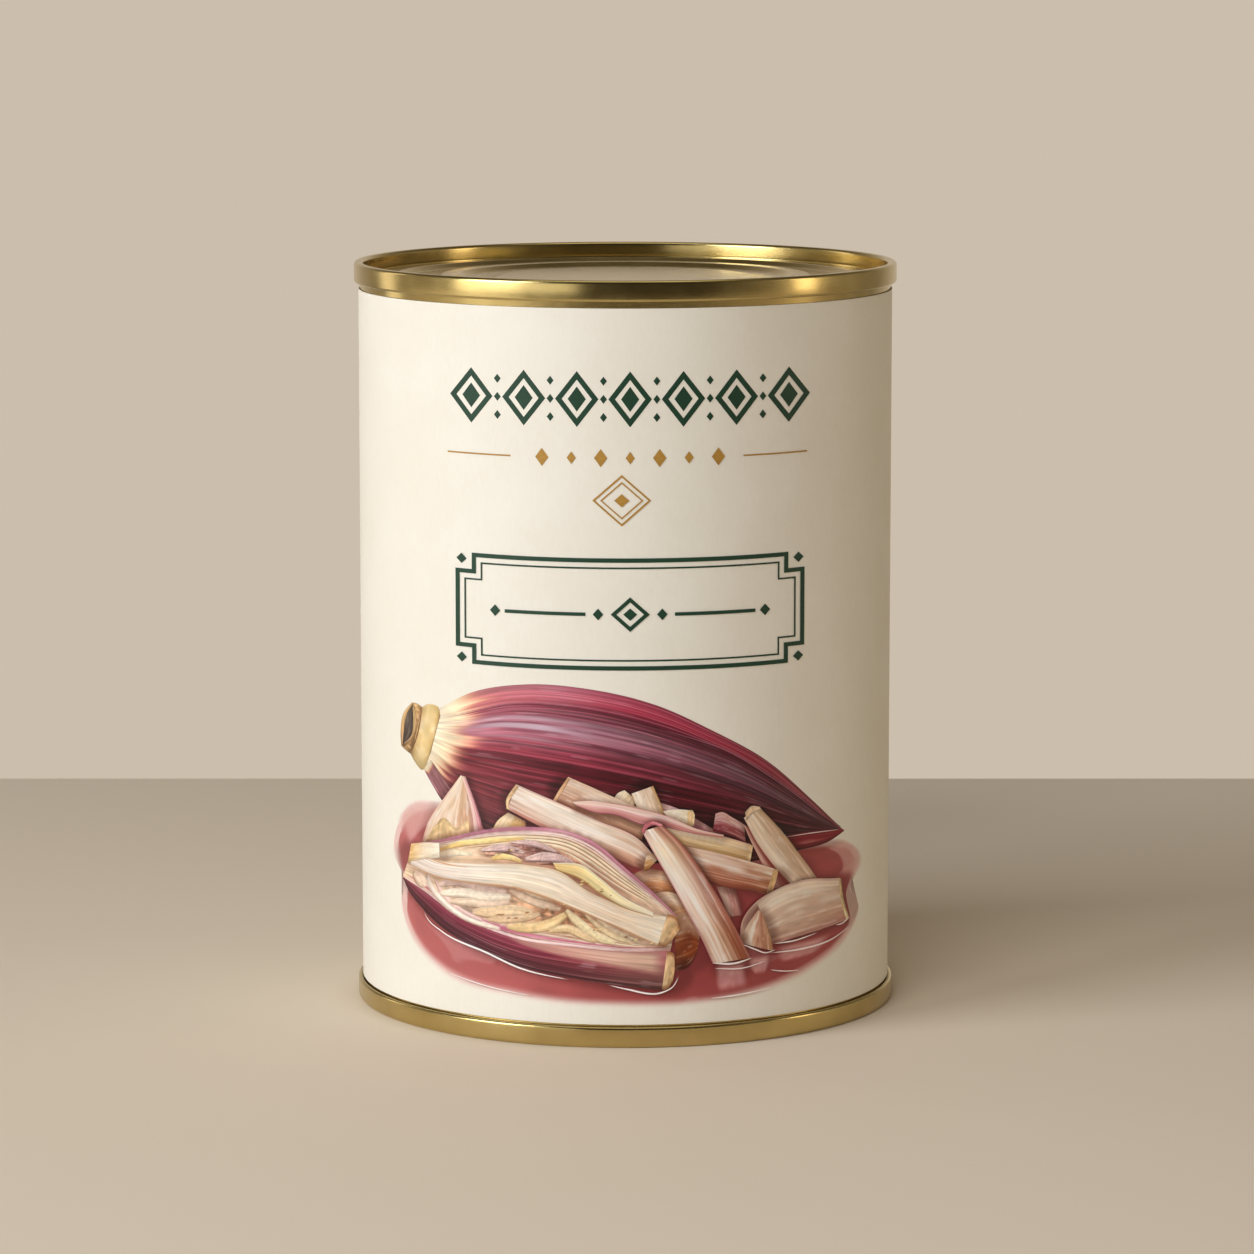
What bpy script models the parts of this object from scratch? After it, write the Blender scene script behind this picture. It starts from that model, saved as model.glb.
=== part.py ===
"""Sealed food can, No. 303: a three-piece tinplate can with double-seamed ends, a lapped paper
label, and cut banana blossom in brine inside. Metres, +Z up, origin at the centre of the base.
The front of the label faces -Y, and its lap is at the back."""

import math
from dataclasses import dataclass

import bmesh
import bpy

MM = 0.001

# Size over the double seams
CAN_DIAMETER = 80.96 * MM
CAN_HEIGHT = 111.13 * MM

# Tinplate and the double seam: depths are measured from the rim's resting plane
PLATE = 0.18 * MM
LAYER_GAP = 0.12 * MM
RIM_CORNER_RADIUS = 0.35 * MM
BODY_FLANGE_DEPTH = 0.70 * MM
BODY_HOOK_TIP_DEPTH = 2.55 * MM
COVER_HOOK_TIP_DEPTH = 1.35 * MM
SEAM_HEIGHT = 3.05 * MM

# Profile of a stamped end, inside the seam
COUNTERSINK_DEPTH = 4.20 * MM
COUNTERSINK_RADIUS = 0.75 * MM
CHUCK_WALL_DRAFT = 0.25 * MM
SHOULDER_DEPTH = 2.15 * MM
SHOULDER_SLOPE = 0.35 * MM
STEP_RADIUS = 33.6 * MM
STEP_DEPTH = 2.65 * MM
STEP_SLOPE = 0.8 * MM
BEAD_RADIUS = 27.2 * MM
BEAD_HALF_WIDTH = 2.4 * MM
BEAD_DEPTH = 2.15 * MM
CENTRE_PANEL_RADIUS = 19.0 * MM
CENTRE_PANEL_DEPTH = 2.45 * MM
CENTRE_PANEL_SLOPE = 0.9 * MM

# Sealing compound, a ring under the rim
COMPOUND_TOP_DEPTH = 0.25 * MM
COMPOUND_HEIGHT = 0.28 * MM
COMPOUND_CLEARANCE = 0.08 * MM

# Paper label and its glue
LABEL_PAPER = 0.12 * MM
LABEL_BOTTOM = 3.35 * MM
LABEL_TOP = CAN_HEIGHT - 4.0 * MM
LABEL_GAP = 0.12 * MM
LAP_GAP = 0.16 * MM
LAP_STEPS = 2
GLUE_FILM = 0.06 * MM
GLUE_END_MARGIN = 6.0 * MM

# Contents
CLEARANCE = 0.30 * MM
HEADSPACE = 9.5 * MM
LAYER_SPACE = 3.0 * MM
PIECE_RISE = 1.5 * MM
STRIPS_PER_LAYER = 5
STRIP_RING_RADIUS = 25.0 * MM
STRIP_WIDTH = 21.2 * MM
STRIP_THICKNESS = 10.1 * MM
STRIP_CUP = -1.2 * MM
STRIP_BOW = 0.8 * MM
STRIP_TAPER = 0.10
STRIP_SPREAD = 0.08
HEART_WIDTH = 27.0 * MM
HEART_THICKNESS = 22.0 * MM
HEART_TAPER = 0.78
HEART_POINT = 2.6
HEART_TURN = 35.0
PIECE_SQUARENESS = 0.18

# Facets
SEGMENTS = 40
ARC_STEPS = 3
PIECE_SIDES = 10
PIECE_RINGS = 5

# Radii of the middle of each plate, from the outside of the seam inwards
LAYER_PITCH = PLATE + LAYER_GAP
SEAMING_WALL_R = CAN_DIAMETER / 2 - PLATE / 2
BODY_HOOK_R = SEAMING_WALL_R - LAYER_PITCH
COVER_HOOK_R = BODY_HOOK_R - LAYER_PITCH
BODY_R = COVER_HOOK_R - LAYER_PITCH
CHUCK_WALL_R = BODY_R - LAYER_PITCH
LABEL_R = BODY_R + PLATE / 2 + LABEL_GAP + LABEL_PAPER / 2
LAP_R = LABEL_R + LABEL_PAPER + LAP_GAP

# Levels of the contents
SHELF = COUNTERSINK_DEPTH + PLATE / 2 + CLEARANCE
FLOOR = STEP_DEPTH + PLATE / 2 + CLEARANCE
FILL_LEVEL = CAN_HEIGHT - HEADSPACE
BRINE_R = BODY_R - PLATE / 2 - CLEARANCE
LAYER_HEIGHT = (FILL_LEVEL - FLOOR - LAYER_SPACE) / 2

# Colour, roughness, metallic
LACQUERED_TINPLATE = ((0.62, 0.47, 0.20, 1.0), 0.32, 1.0)
COMPOUND_GREY = ((0.25, 0.24, 0.22, 1.0), 0.70, 0.0)
LABEL_CREAM = ((0.86, 0.80, 0.68, 1.0), 0.55, 0.0)
GLUE_AMBER = ((0.74, 0.62, 0.38, 1.0), 0.40, 0.0)
BRINE_ROSE = ((0.72, 0.45, 0.42, 1.0), 0.08, 0.0)
BLOSSOM_CREAM = ((0.80, 0.68, 0.52, 1.0), 0.45, 0.0)
HEART_ROSE = ((0.70, 0.46, 0.42, 1.0), 0.45, 0.0)


def clear_scene():
    for old in list(bpy.data.objects):
        bpy.data.objects.remove(old, do_unlink=True)


def make_collection(name):
    group = bpy.data.collections.new(name)
    bpy.context.scene.collection.children.link(group)
    return group


def make_material(name, finish):
    colour, roughness, metallic = finish
    material = bpy.data.materials.new(name)
    material.use_nodes = True
    shader = material.node_tree.nodes["Principled BSDF"]
    shader.inputs["Base Color"].default_value = colour
    shader.inputs["Roughness"].default_value = roughness
    shader.inputs["Metallic"].default_value = metallic
    material.diffuse_color = colour
    return material


def add_object(bm, name, group, finish=None):
    """Turn a bmesh into a named object of its own, in a collection."""
    mesh = bpy.data.meshes.new(name)
    bm.to_mesh(mesh)
    bm.free()
    thing = bpy.data.objects.new(name, mesh)
    group.objects.link(thing)
    if finish:
        mesh.materials.append(make_material(name, finish))
    return thing


def shade_round(thing):
    thing.data.shade_smooth()
    thing.data.set_sharp_from_angle(angle=math.radians(40))


def arc(centre_r, centre_z, radius, start, end):
    """Points (r, z) on an arc, both ends included, with its angles in degrees."""
    points = []
    for step in range(ARC_STEPS + 1):
        angle = math.radians(start + (end - start) * step / ARC_STEPS)
        points.append((centre_r + radius * math.cos(angle), centre_z + radius * math.sin(angle)))
    return points


def mirrored(profile):
    """The same profile at the can's other end, run the other way so that it faces the same."""
    return [(r, CAN_HEIGHT - z) for r, z in reversed(profile)]


def profile_mesh(profile, closed):
    bm = bmesh.new()
    verts = [bm.verts.new((r, 0.0, z)) for r, z in profile]
    for first, second in zip(verts, verts[1:]):
        bm.edges.new((first, second))
    if closed:
        bm.edges.new((verts[-1], verts[0]))
    return bm


def turn(thing):
    """Sweep an object's profile round the can's axis."""
    screw = thing.modifiers.new("Screw", "SCREW")
    screw.axis = "Z"
    screw.steps = SEGMENTS
    screw.render_steps = SEGMENTS
    screw.use_merge_vertices = True
    screw.merge_threshold = 0.00001


def thicken(thing, thickness):
    solidify = thing.modifiers.new("Solidify", "SOLIDIFY")
    solidify.thickness = thickness
    solidify.offset = 0.0
    solidify.use_even_offset = True


def turned_shell(name, profile, group, finish):
    """A turned sheet of plate, from the profile of its middle surface."""
    shell = add_object(profile_mesh(profile, closed=False), name, group, finish)
    turn(shell)
    thicken(shell, PLATE)
    shade_round(shell)


def turned_solid(name, profile, closed, group, finish):
    solid = add_object(profile_mesh(profile, closed), name, group, finish)
    turn(solid)
    shade_round(solid)
    return solid


def body_half():
    """Half of the body's profile: the hook inside the top seam, its flange, and the wall."""
    flange_radius = (BODY_HOOK_R - BODY_R) / 2
    flange_centre = CAN_HEIGHT - BODY_FLANGE_DEPTH - flange_radius
    hook_tip = (BODY_HOOK_R, CAN_HEIGHT - BODY_HOOK_TIP_DEPTH)
    flange = arc(BODY_R + flange_radius, flange_centre, flange_radius, 0, 180)
    return [hook_tip] + flange


def make_can_body(group):
    top = body_half()
    turned_shell("can_body", top + mirrored(top), group, LACQUERED_TINPLATE)


def end_profile():
    """Top end, from the centre out: panel, beads, countersink, chuck wall, rim and cover hook."""
    top = CAN_HEIGHT
    panel = [
        (0.0, top - CENTRE_PANEL_DEPTH),
        (CENTRE_PANEL_RADIUS, top - CENTRE_PANEL_DEPTH),
        (CENTRE_PANEL_RADIUS + CENTRE_PANEL_SLOPE, top - STEP_DEPTH),
        (BEAD_RADIUS - BEAD_HALF_WIDTH, top - STEP_DEPTH),
        (BEAD_RADIUS, top - BEAD_DEPTH),
        (BEAD_RADIUS + BEAD_HALF_WIDTH, top - STEP_DEPTH),
        (STEP_RADIUS, top - STEP_DEPTH),
        (STEP_RADIUS + STEP_SLOPE, top - SHOULDER_DEPTH),
    ]
    groove_r = CHUCK_WALL_R - CHUCK_WALL_DRAFT - COUNTERSINK_RADIUS
    groove_z = top - COUNTERSINK_DEPTH + COUNTERSINK_RADIUS
    shoulder = [(groove_r - COUNTERSINK_RADIUS - SHOULDER_SLOPE, top - SHOULDER_DEPTH)]
    groove = arc(groove_r, groove_z, COUNTERSINK_RADIUS, 180, 360)
    middle_z = top - PLATE / 2
    corner_z = middle_z - RIM_CORNER_RADIUS
    inner_corner = arc(CHUCK_WALL_R + RIM_CORNER_RADIUS, corner_z, RIM_CORNER_RADIUS, 180, 90)
    outer_corner = arc(SEAMING_WALL_R - RIM_CORNER_RADIUS, corner_z, RIM_CORNER_RADIUS, 90, 0)
    fold_radius = (SEAMING_WALL_R - COVER_HOOK_R) / 2
    fold_z = top - SEAM_HEIGHT + PLATE / 2 + fold_radius
    fold = arc(BODY_HOOK_R, fold_z, fold_radius, 0, -180)
    hook_tip = [(COVER_HOOK_R, top - COVER_HOOK_TIP_DEPTH)]
    return panel + shoulder + groove + inner_corner + outer_corner + fold + hook_tip


def make_ends(group):
    profile = end_profile()
    turned_shell("top_end", profile, group, LACQUERED_TINPLATE)
    turned_shell("bottom_end", mirrored(profile), group, LACQUERED_TINPLATE)


def compound_profile():
    """Section of the top compound ring, clockwise so that its outer side runs down."""
    inner_r = CHUCK_WALL_R + PLATE / 2 + COMPOUND_CLEARANCE
    outer_r = SEAMING_WALL_R - PLATE / 2 - COMPOUND_CLEARANCE
    bevel = COMPOUND_HEIGHT / 2
    top = CAN_HEIGHT - COMPOUND_TOP_DEPTH
    bottom = top - COMPOUND_HEIGHT
    return [
        (inner_r + bevel, top),
        (outer_r - bevel, top),
        (outer_r, bottom),
        (inner_r, bottom),
    ]


def make_compound_rings(group):
    profile = compound_profile()
    turned_solid("top_sealing_compound", profile, True, group, COMPOUND_GREY)
    turned_solid("bottom_sealing_compound", mirrored(profile), True, group, COMPOUND_GREY)


def wrapped_sheet(name, route, bottom, top, thickness, group, finish):
    """A sheet round the can: a route of (angle in steps, radius) raised from bottom to top."""
    step_angle = 2 * math.pi / SEGMENTS
    bm = bmesh.new()
    verts = []
    for steps, radius in route:
        angle = math.pi / 2 + steps * step_angle
        verts.append(bm.verts.new((radius * math.cos(angle), radius * math.sin(angle), bottom)))
    edges = [bm.edges.new(pair) for pair in zip(verts, verts[1:])]
    raised = bmesh.ops.extrude_edge_only(bm, edges=edges)["geom"]
    raised_verts = [item for item in raised if isinstance(item, bmesh.types.BMVert)]
    bmesh.ops.translate(bm, verts=raised_verts, vec=(0.0, 0.0, top - bottom))
    bmesh.ops.recalc_face_normals(bm, faces=bm.faces)
    sheet = add_object(bm, name, group, finish)
    thicken(sheet, thickness)
    shade_round(sheet)


def make_label(group):
    """Paper once round the can, its end stepping up over its start at the back."""
    route = [(step, LABEL_R) for step in range(SEGMENTS)]
    route += [(SEGMENTS + step, LAP_R) for step in range(LAP_STEPS + 1)]
    wrapped_sheet("paper_label", route, LABEL_BOTTOM, LABEL_TOP, LABEL_PAPER, group, LABEL_CREAM)


def make_glue(group):
    """The pick-up strip behind the label's start, and the strip inside its lap."""
    pick_up_r = BODY_R + PLATE / 2 + LABEL_GAP / 2
    lap_r = LABEL_R + LABEL_PAPER / 2 + LAP_GAP / 2
    low = LABEL_BOTTOM + GLUE_END_MARGIN
    high = LABEL_TOP - GLUE_END_MARGIN
    pick_up_route = [(0, pick_up_r), (1, pick_up_r)]
    lap_route = [(0, lap_r), (1, lap_r), (LAP_STEPS, lap_r)]
    wrapped_sheet("label_pick_up_glue", pick_up_route, low, high, GLUE_FILM, group, GLUE_AMBER)
    wrapped_sheet("label_lap_glue", lap_route, low, high, GLUE_FILM, group, GLUE_AMBER)


@dataclass
class Piece:
    """A cut piece of blossom, standing on its end at a place on a ring round the axis."""

    name: str
    finish: tuple
    ring_radius: float
    angle: float
    base: float
    width: float
    thickness: float
    length: float
    taper: float
    point: float
    cup: float
    bow: float


def piece_mesh(piece, grow=0.0):
    """The piece's rounded body: tapered, cupped across and bowed along, and grown all over."""
    bm = bmesh.new()
    bmesh.ops.create_cone(
        bm, cap_ends=True, segments=PIECE_SIDES, radius1=0.5, radius2=0.5, depth=1.0
    )
    bmesh.ops.translate(bm, verts=bm.verts, vec=(0.0, 0.0, 0.5))
    for ring in range(1, PIECE_RINGS):
        everything = bm.verts[:] + bm.edges[:] + bm.faces[:]
        level = (0.0, 0.0, ring / PIECE_RINGS)
        bmesh.ops.bisect_plane(bm, geom=everything, plane_co=level, plane_no=(0.0, 0.0, 1.0))
    for vert in bm.verts:
        across, through, along = vert.co
        narrow = 1.0 - piece.taper * along**piece.point
        corner = abs(math.sin(2 * math.atan2(through, across)))
        spread = 1.0 + PIECE_SQUARENESS * corner
        x = across * spread * (piece.width * narrow + 2 * grow)
        y = through * spread * (piece.thickness * narrow + 2 * grow)
        y += piece.cup * (2 * across) ** 2 + piece.bow * math.sin(math.pi * along)
        vert.co = (x, y, along * (piece.length + 2 * grow) - grow)
    return bm


def strip(index, layer, base, height):
    """One of the strips of a layer; a slow wave over the index makes each a little different."""
    wave = math.sin(2.4 * index + 1.7 * layer)
    length = height * (1.0 - STRIP_SPREAD * (1.0 - wave) / 2)
    return Piece(
        name=f"blossom_strip_{layer * STRIPS_PER_LAYER + index + 1:02d}",
        finish=BLOSSOM_CREAM,
        ring_radius=STRIP_RING_RADIUS,
        angle=2 * math.pi * (index + layer / 2) / STRIPS_PER_LAYER,
        base=base + layer * (height - length),
        width=STRIP_WIDTH * (1.0 + STRIP_SPREAD * wave),
        thickness=STRIP_THICKNESS * (1.0 - STRIP_SPREAD * wave),
        length=length,
        taper=STRIP_TAPER * (1.0 + wave / 2),
        point=1.0,
        cup=STRIP_CUP,
        bow=STRIP_BOW * wave,
    )


def heart(layer, base, height):
    """The blossom's pointed heart, in the middle of a layer."""
    return Piece(
        name=f"blossom_heart_{layer + 1}",
        finish=HEART_ROSE,
        ring_radius=0.0,
        angle=math.radians(HEART_TURN) * (1 + layer),
        base=base,
        width=HEART_WIDTH,
        thickness=HEART_THICKNESS,
        length=height,
        taper=HEART_TAPER,
        point=HEART_POINT,
        cup=0.0,
        bow=0.0,
    )


def all_pieces():
    """A lower layer that stands on the bottom end, and an upper one that rises out of the brine."""
    pieces = []
    for layer, base in enumerate((FLOOR, FILL_LEVEL + PIECE_RISE - LAYER_HEIGHT)):
        pieces += [strip(index, layer, base, LAYER_HEIGHT) for index in range(STRIPS_PER_LAYER)]
        pieces.append(heart(layer, base, LAYER_HEIGHT))
    return pieces


def place_piece(thing, piece):
    x = piece.ring_radius * math.cos(piece.angle)
    y = piece.ring_radius * math.sin(piece.angle)
    thing.location = (x, y, piece.base)
    thing.rotation_euler = (0.0, 0.0, piece.angle - math.pi / 2)


def make_pieces(group):
    for piece in all_pieces():
        thing = add_object(piece_mesh(piece), piece.name, group, piece.finish)
        place_piece(thing, piece)
        shade_round(thing)


def make_brine(group, cutters):
    """The liquid round the pieces: a turned solid with a clear pocket for each piece."""
    shelf_r = CHUCK_WALL_R - CHUCK_WALL_DRAFT - 2 * COUNTERSINK_RADIUS - SHOULDER_SLOPE - CLEARANCE
    profile = [(0.0, FILL_LEVEL), (BRINE_R, FILL_LEVEL), (BRINE_R, SHELF)]
    profile += [(shelf_r, SHELF), (shelf_r, FLOOR), (0.0, FLOOR)]
    brine = turned_solid("brine", profile, False, group, BRINE_ROSE)
    for piece in all_pieces():
        cutter = add_object(piece_mesh(piece, CLEARANCE), "pocket_" + piece.name, cutters)
        place_piece(cutter, piece)
        cutter.hide_render = True
        cutter.display_type = "WIRE"
        cut = brine.modifiers.new("Pocket", "BOOLEAN")
        cut.operation = "DIFFERENCE"
        cut.solver = "EXACT"
        cut.object = cutter


def main():
    clear_scene()
    can = make_collection("food_can")
    cutters = make_collection("cutters")
    make_can_body(can)
    make_ends(can)
    make_compound_rings(can)
    make_label(can)
    make_glue(can)
    make_pieces(can)
    make_brine(can, cutters)


main()
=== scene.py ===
"""A sealed food can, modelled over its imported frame: gold double-seamed ends, a lapped paper label
with its printed decoration, and the cut banana blossom inside. Metres, +Z up, label front to -Y."""

import logging
import math
from dataclasses import dataclass
from enum import Enum

import bpy
import numpy as np
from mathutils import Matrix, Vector


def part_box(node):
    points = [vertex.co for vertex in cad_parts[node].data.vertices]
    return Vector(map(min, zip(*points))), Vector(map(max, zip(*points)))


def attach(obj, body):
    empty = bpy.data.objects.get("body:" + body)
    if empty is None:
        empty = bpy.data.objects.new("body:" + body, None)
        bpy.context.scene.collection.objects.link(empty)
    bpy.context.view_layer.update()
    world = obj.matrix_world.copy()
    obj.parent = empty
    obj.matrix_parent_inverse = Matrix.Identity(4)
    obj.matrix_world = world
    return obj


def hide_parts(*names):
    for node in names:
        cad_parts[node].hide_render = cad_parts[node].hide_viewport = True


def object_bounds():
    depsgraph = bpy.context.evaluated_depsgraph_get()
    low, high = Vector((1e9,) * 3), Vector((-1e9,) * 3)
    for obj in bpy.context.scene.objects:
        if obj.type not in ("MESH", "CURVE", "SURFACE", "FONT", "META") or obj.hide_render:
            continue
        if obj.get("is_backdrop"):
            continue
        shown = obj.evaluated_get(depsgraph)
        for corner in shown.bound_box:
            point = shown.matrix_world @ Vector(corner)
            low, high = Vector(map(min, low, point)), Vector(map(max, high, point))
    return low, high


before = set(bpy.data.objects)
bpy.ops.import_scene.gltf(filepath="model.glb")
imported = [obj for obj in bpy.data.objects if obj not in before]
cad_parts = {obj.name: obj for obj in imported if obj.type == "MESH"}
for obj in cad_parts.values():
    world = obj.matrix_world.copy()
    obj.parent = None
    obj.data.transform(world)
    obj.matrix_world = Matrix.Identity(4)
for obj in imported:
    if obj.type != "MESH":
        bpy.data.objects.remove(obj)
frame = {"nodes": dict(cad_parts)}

LOG = logging.getLogger("food_can")
MM = 0.001
TOUCHING = 0.000002
SMOOTH_ANGLE = math.radians(35)
BODY = "root"
Colour = tuple[float, float, float]
Profile = list[tuple[float, float]]
Piece = bpy.types.Object
Material = bpy.types.Material
Socket = bpy.types.NodeSocket


def srgb(colour: int) -> Colour:
    """A display colour, 0xRRGGBB, as linear values."""
    def linear(value: int) -> float:
        """One channel."""
        share = value / 255
        return share / 12.92 if share <= 0.04045 else ((share + 0.055) / 1.055) ** 2.4

    return tuple(map(linear, colour.to_bytes(3, "big")))


def opaque(colour: Colour) -> tuple[float, float, float, float]:
    """A colour with full alpha, as sockets take it."""
    return (*colour, 1.0)


# ---- Shader building ----


class Shader:
    """A material's node tree, built from left to right."""

    def __init__(self, name: str) -> None:
        """Start an empty tree with a Principled BSDF on its output."""
        self.material = bpy.data.materials.new(name)
        self.material.use_nodes = True
        self.tree = self.material.node_tree
        self.surface = self.tree.nodes["Principled BSDF"]

    def node(self, kind: str, **settings: object) -> bpy.types.Node:
        """Add a node and set its properties.

        Args:
            kind: The node's type name.
            settings: Properties of the node, by name.

        Returns:
            The new node.
        """
        made = self.tree.nodes.new(kind)
        for name, value in settings.items():
            setattr(made, name, value)
        return made

    def link(self, source: Socket, target: Socket) -> None:
        """Join two sockets."""
        self.tree.links.new(source, target)

    def place(self, *scale: float) -> Socket:
        """Object coordinates for a pattern, multiplied by a scale along each axis."""
        coordinates = self.node("ShaderNodeTexCoord")
        mapping = self.node("ShaderNodeMapping")
        mapping.inputs["Scale"].default_value = scale
        self.link(coordinates.outputs["Object"], mapping.inputs["Vector"])
        return mapping.outputs["Vector"]

    def noise(self, vector: Socket, scale: float, detail: float, rough: float) -> Socket:
        """A noise value between 0 and 1 at a vector."""
        made = self.node("ShaderNodeTexNoise")
        made.inputs["Scale"].default_value = scale
        made.inputs["Detail"].default_value = detail
        made.inputs["Roughness"].default_value = rough
        self.link(vector, made.inputs["Vector"])
        return made.outputs["Fac"]

    def spread(
        self, value: Socket, low: float, high: float, start: float = 0.3, end: float = 0.7,
    ) -> Socket:
        """Stretch a value from start..end to low..high, and stop it there."""
        made = self.node("ShaderNodeMapRange")
        made.inputs["From Min"].default_value = start
        made.inputs["From Max"].default_value = end
        made.inputs["To Min"].default_value = low
        made.inputs["To Max"].default_value = high
        self.link(value, made.inputs["Value"])
        return made.outputs["Result"]

    def sum(self, *values: Socket) -> Socket:
        """Add values together."""
        total = values[0]
        for value in values[1:]:
            made = self.node("ShaderNodeMath", operation="ADD")
            self.link(total, made.inputs[0])
            self.link(value, made.inputs[1])
            total = made.outputs[0]
        return total

    def blend(self, share: Socket, first: Colour | Socket, second: Colour | Socket) -> Socket:
        """Mix two colours by a share, each a plain colour or a socket."""
        made = self.node("ShaderNodeMix", data_type="RGBA")
        self.link(share, made.inputs["Factor"])
        for socket, colour in ((made.inputs[6], first), (made.inputs[7], second)):
            if isinstance(colour, tuple):
                socket.default_value = opaque(colour)
            else:
                self.link(colour, socket)
        return made.outputs[2]

    def bump(self, height: Socket, depth: float) -> None:
        """Give the surface a relief of a depth in metres."""
        made = self.node("ShaderNodeBump")
        made.inputs["Distance"].default_value = depth
        self.link(height, made.inputs["Height"])
        self.link(made.outputs["Normal"], self.surface.inputs["Normal"])


@dataclass(frozen=True)
class LacqueredTinplate:
    """Gold epoxy lacquer over tinplate: a satin metal with faint mottle and fine handling marks."""

    name: str = "lacquered_tinplate"
    bright: Colour = (0.65, 0.51, 0.225)
    deep: Colour = (0.47, 0.355, 0.135)
    smooth: float = 0.19
    dull: float = 0.23
    relief: float = 0.0000022

    def make(self) -> Material:
        """Build the material."""
        shader = Shader(self.name)
        mottle = shader.noise(shader.place(1, 1, 1), 260, 3, 0.5)
        grain = shader.noise(shader.place(1, 1, 1), 3800, 2, 0.5)
        rolled = shader.noise(shader.place(1, 1, 9), 420, 4, 0.6)
        handled = shader.noise(shader.place(1, 1, 1), 1400, 2, 0.5)
        tone = shader.sum(shader.spread(mottle, 0.25, 0.6), shader.spread(grain, -0.05, 0.05))
        shader.link(shader.blend(tone, self.deep, self.bright), shader.surface.inputs["Base Color"])
        wear = shader.sum(
            shader.spread(mottle, self.smooth, self.dull), shader.spread(rolled, -0.02, 0.02),
            shader.spread(handled, 0.0, 0.02, 0.62, 0.72),
        )
        shader.link(wear, shader.surface.inputs["Roughness"])
        shader.surface.inputs["Metallic"].default_value = 1.0
        shader.bump(shader.sum(shader.spread(grain, 0, 0.25), shader.spread(rolled, 0, 0.5)), self.relief)
        return shader.material


@dataclass(frozen=True)
class LabelPaper:
    """Uncoated cream label stock: fine fibres, a faint cockle and a soft dull surface."""

    name: str = "label_paper"
    sheet: Colour = srgb(0xF0EADD)
    fleck: Colour = srgb(0xE7DECD)
    dull: float = 0.56
    gloss: float = 0.32
    relief: float = 0.00004

    def sheet_colour(self, shader: Shader) -> Socket:
        """The bare paper's colour, the same on every piece that is printed on it."""
        cloud = shader.noise(shader.place(1, 1, 1), 90, 3, 0.55)
        fibre = shader.noise(shader.place(1, 1, 0.35), 1900, 3, 0.6)
        tone = shader.sum(shader.spread(cloud, 0.0, 0.35), shader.spread(fibre, 0.0, 0.25))
        return shader.blend(tone, self.sheet, self.fleck)

    def feel(self, shader: Shader, dull: float) -> None:
        """The paper's relief and dullness."""
        fibre = shader.noise(shader.place(1, 1, 0.5), 2300, 4, 0.65)
        cockle = shader.noise(shader.place(1, 1, 1), 60, 2, 0.5)
        shader.link(shader.spread(fibre, dull - 0.05, dull + 0.07), shader.surface.inputs["Roughness"])
        shader.surface.inputs["Specular IOR Level"].default_value = self.gloss
        shader.bump(shader.sum(shader.spread(fibre, 0, 0.1), shader.spread(cockle, 0, 0.9)), self.relief)

    def make(self) -> Material:
        """Build the material."""
        shader = Shader(self.name)
        shader.link(self.sheet_colour(shader), shader.surface.inputs["Base Color"])
        self.feel(shader, self.dull)
        return shader.material


@dataclass(frozen=True)
class PrintedInk:
    """Ink on the label paper: each place has its own colour, and lets its own share of paper through."""

    name: str = "printed_ink"
    paper: LabelPaper = LabelPaper()
    dull: float = 0.5

    def make(self) -> Material:
        """Build the material."""
        shader = Shader(self.name)
        ink = shader.node("ShaderNodeAttribute", attribute_name="ink")
        sheet = self.paper.sheet_colour(shader)
        colour = shader.blend(ink.outputs["Alpha"], sheet, ink.outputs["Color"])
        shader.link(colour, shader.surface.inputs["Base Color"])
        self.paper.feel(shader, self.dull)
        return shader.material


@dataclass(frozen=True)
class PlainFinish:
    """Rubber, glue or brine: two tones in a fine mottle, dull or glossy, and more or less clear."""

    name: str
    light: Colour
    dark: Colour
    roughness: float
    scale: float = 600.0
    clear: float = 0.0
    refraction: float = 1.36
    relief: float = 0.00003

    def make(self) -> Material:
        """Build the material."""
        shader = Shader(self.name)
        mottle = shader.noise(shader.place(1, 1, 1), self.scale, 4, 0.6)
        shader.link(shader.blend(mottle, self.dark, self.light), shader.surface.inputs["Base Color"])
        shader.link(
            shader.spread(mottle, self.roughness, self.roughness + 0.12),
            shader.surface.inputs["Roughness"],
        )
        shader.surface.inputs["Transmission Weight"].default_value = self.clear
        shader.surface.inputs["IOR"].default_value = self.refraction
        shader.bump(mottle, self.relief)
        return shader.material


@dataclass(frozen=True)
class BrinedFlesh:
    """Cooked blossom: wet and pale, with long fibres, pale veins and a blush that comes and goes."""

    name: str
    pale: Colour
    blush: Colour
    vein: Colour
    depth: float = 2 * MM
    wet: float = 0.4
    relief: float = 0.0001

    def make(self) -> Material:
        """Build the material."""
        shader = Shader(self.name)
        cloud = shader.noise(shader.place(1, 1, 0.5), 75, 3, 0.55)
        fibre = shader.noise(shader.place(1, 1, 0.05), 1500, 4, 0.6)
        tone = shader.blend(shader.spread(cloud, 0.0, 1.0, 0.4, 0.65), self.pale, self.blush)
        colour = shader.blend(shader.spread(fibre, 0.0, 0.5, 0.5, 0.75), tone, self.vein)
        shader.link(colour, shader.surface.inputs["Base Color"])
        shader.link(shader.spread(fibre, 0.2, 0.4), shader.surface.inputs["Roughness"])
        shader.surface.inputs["Subsurface Weight"].default_value = 0.2
        shader.surface.inputs["Subsurface Scale"].default_value = self.depth
        shader.surface.inputs["Coat Weight"].default_value = self.wet
        shader.bump(fibre, self.relief)
        return shader.material


# ---- Modelling helpers ----


def deselect_all() -> None:
    """Leave nothing selected, so that an operator acts only on what it is given."""
    if bpy.context.object and bpy.context.object.mode != "OBJECT":
        bpy.ops.object.mode_set(mode="OBJECT")
    bpy.ops.object.select_all(action="DESELECT")


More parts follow.
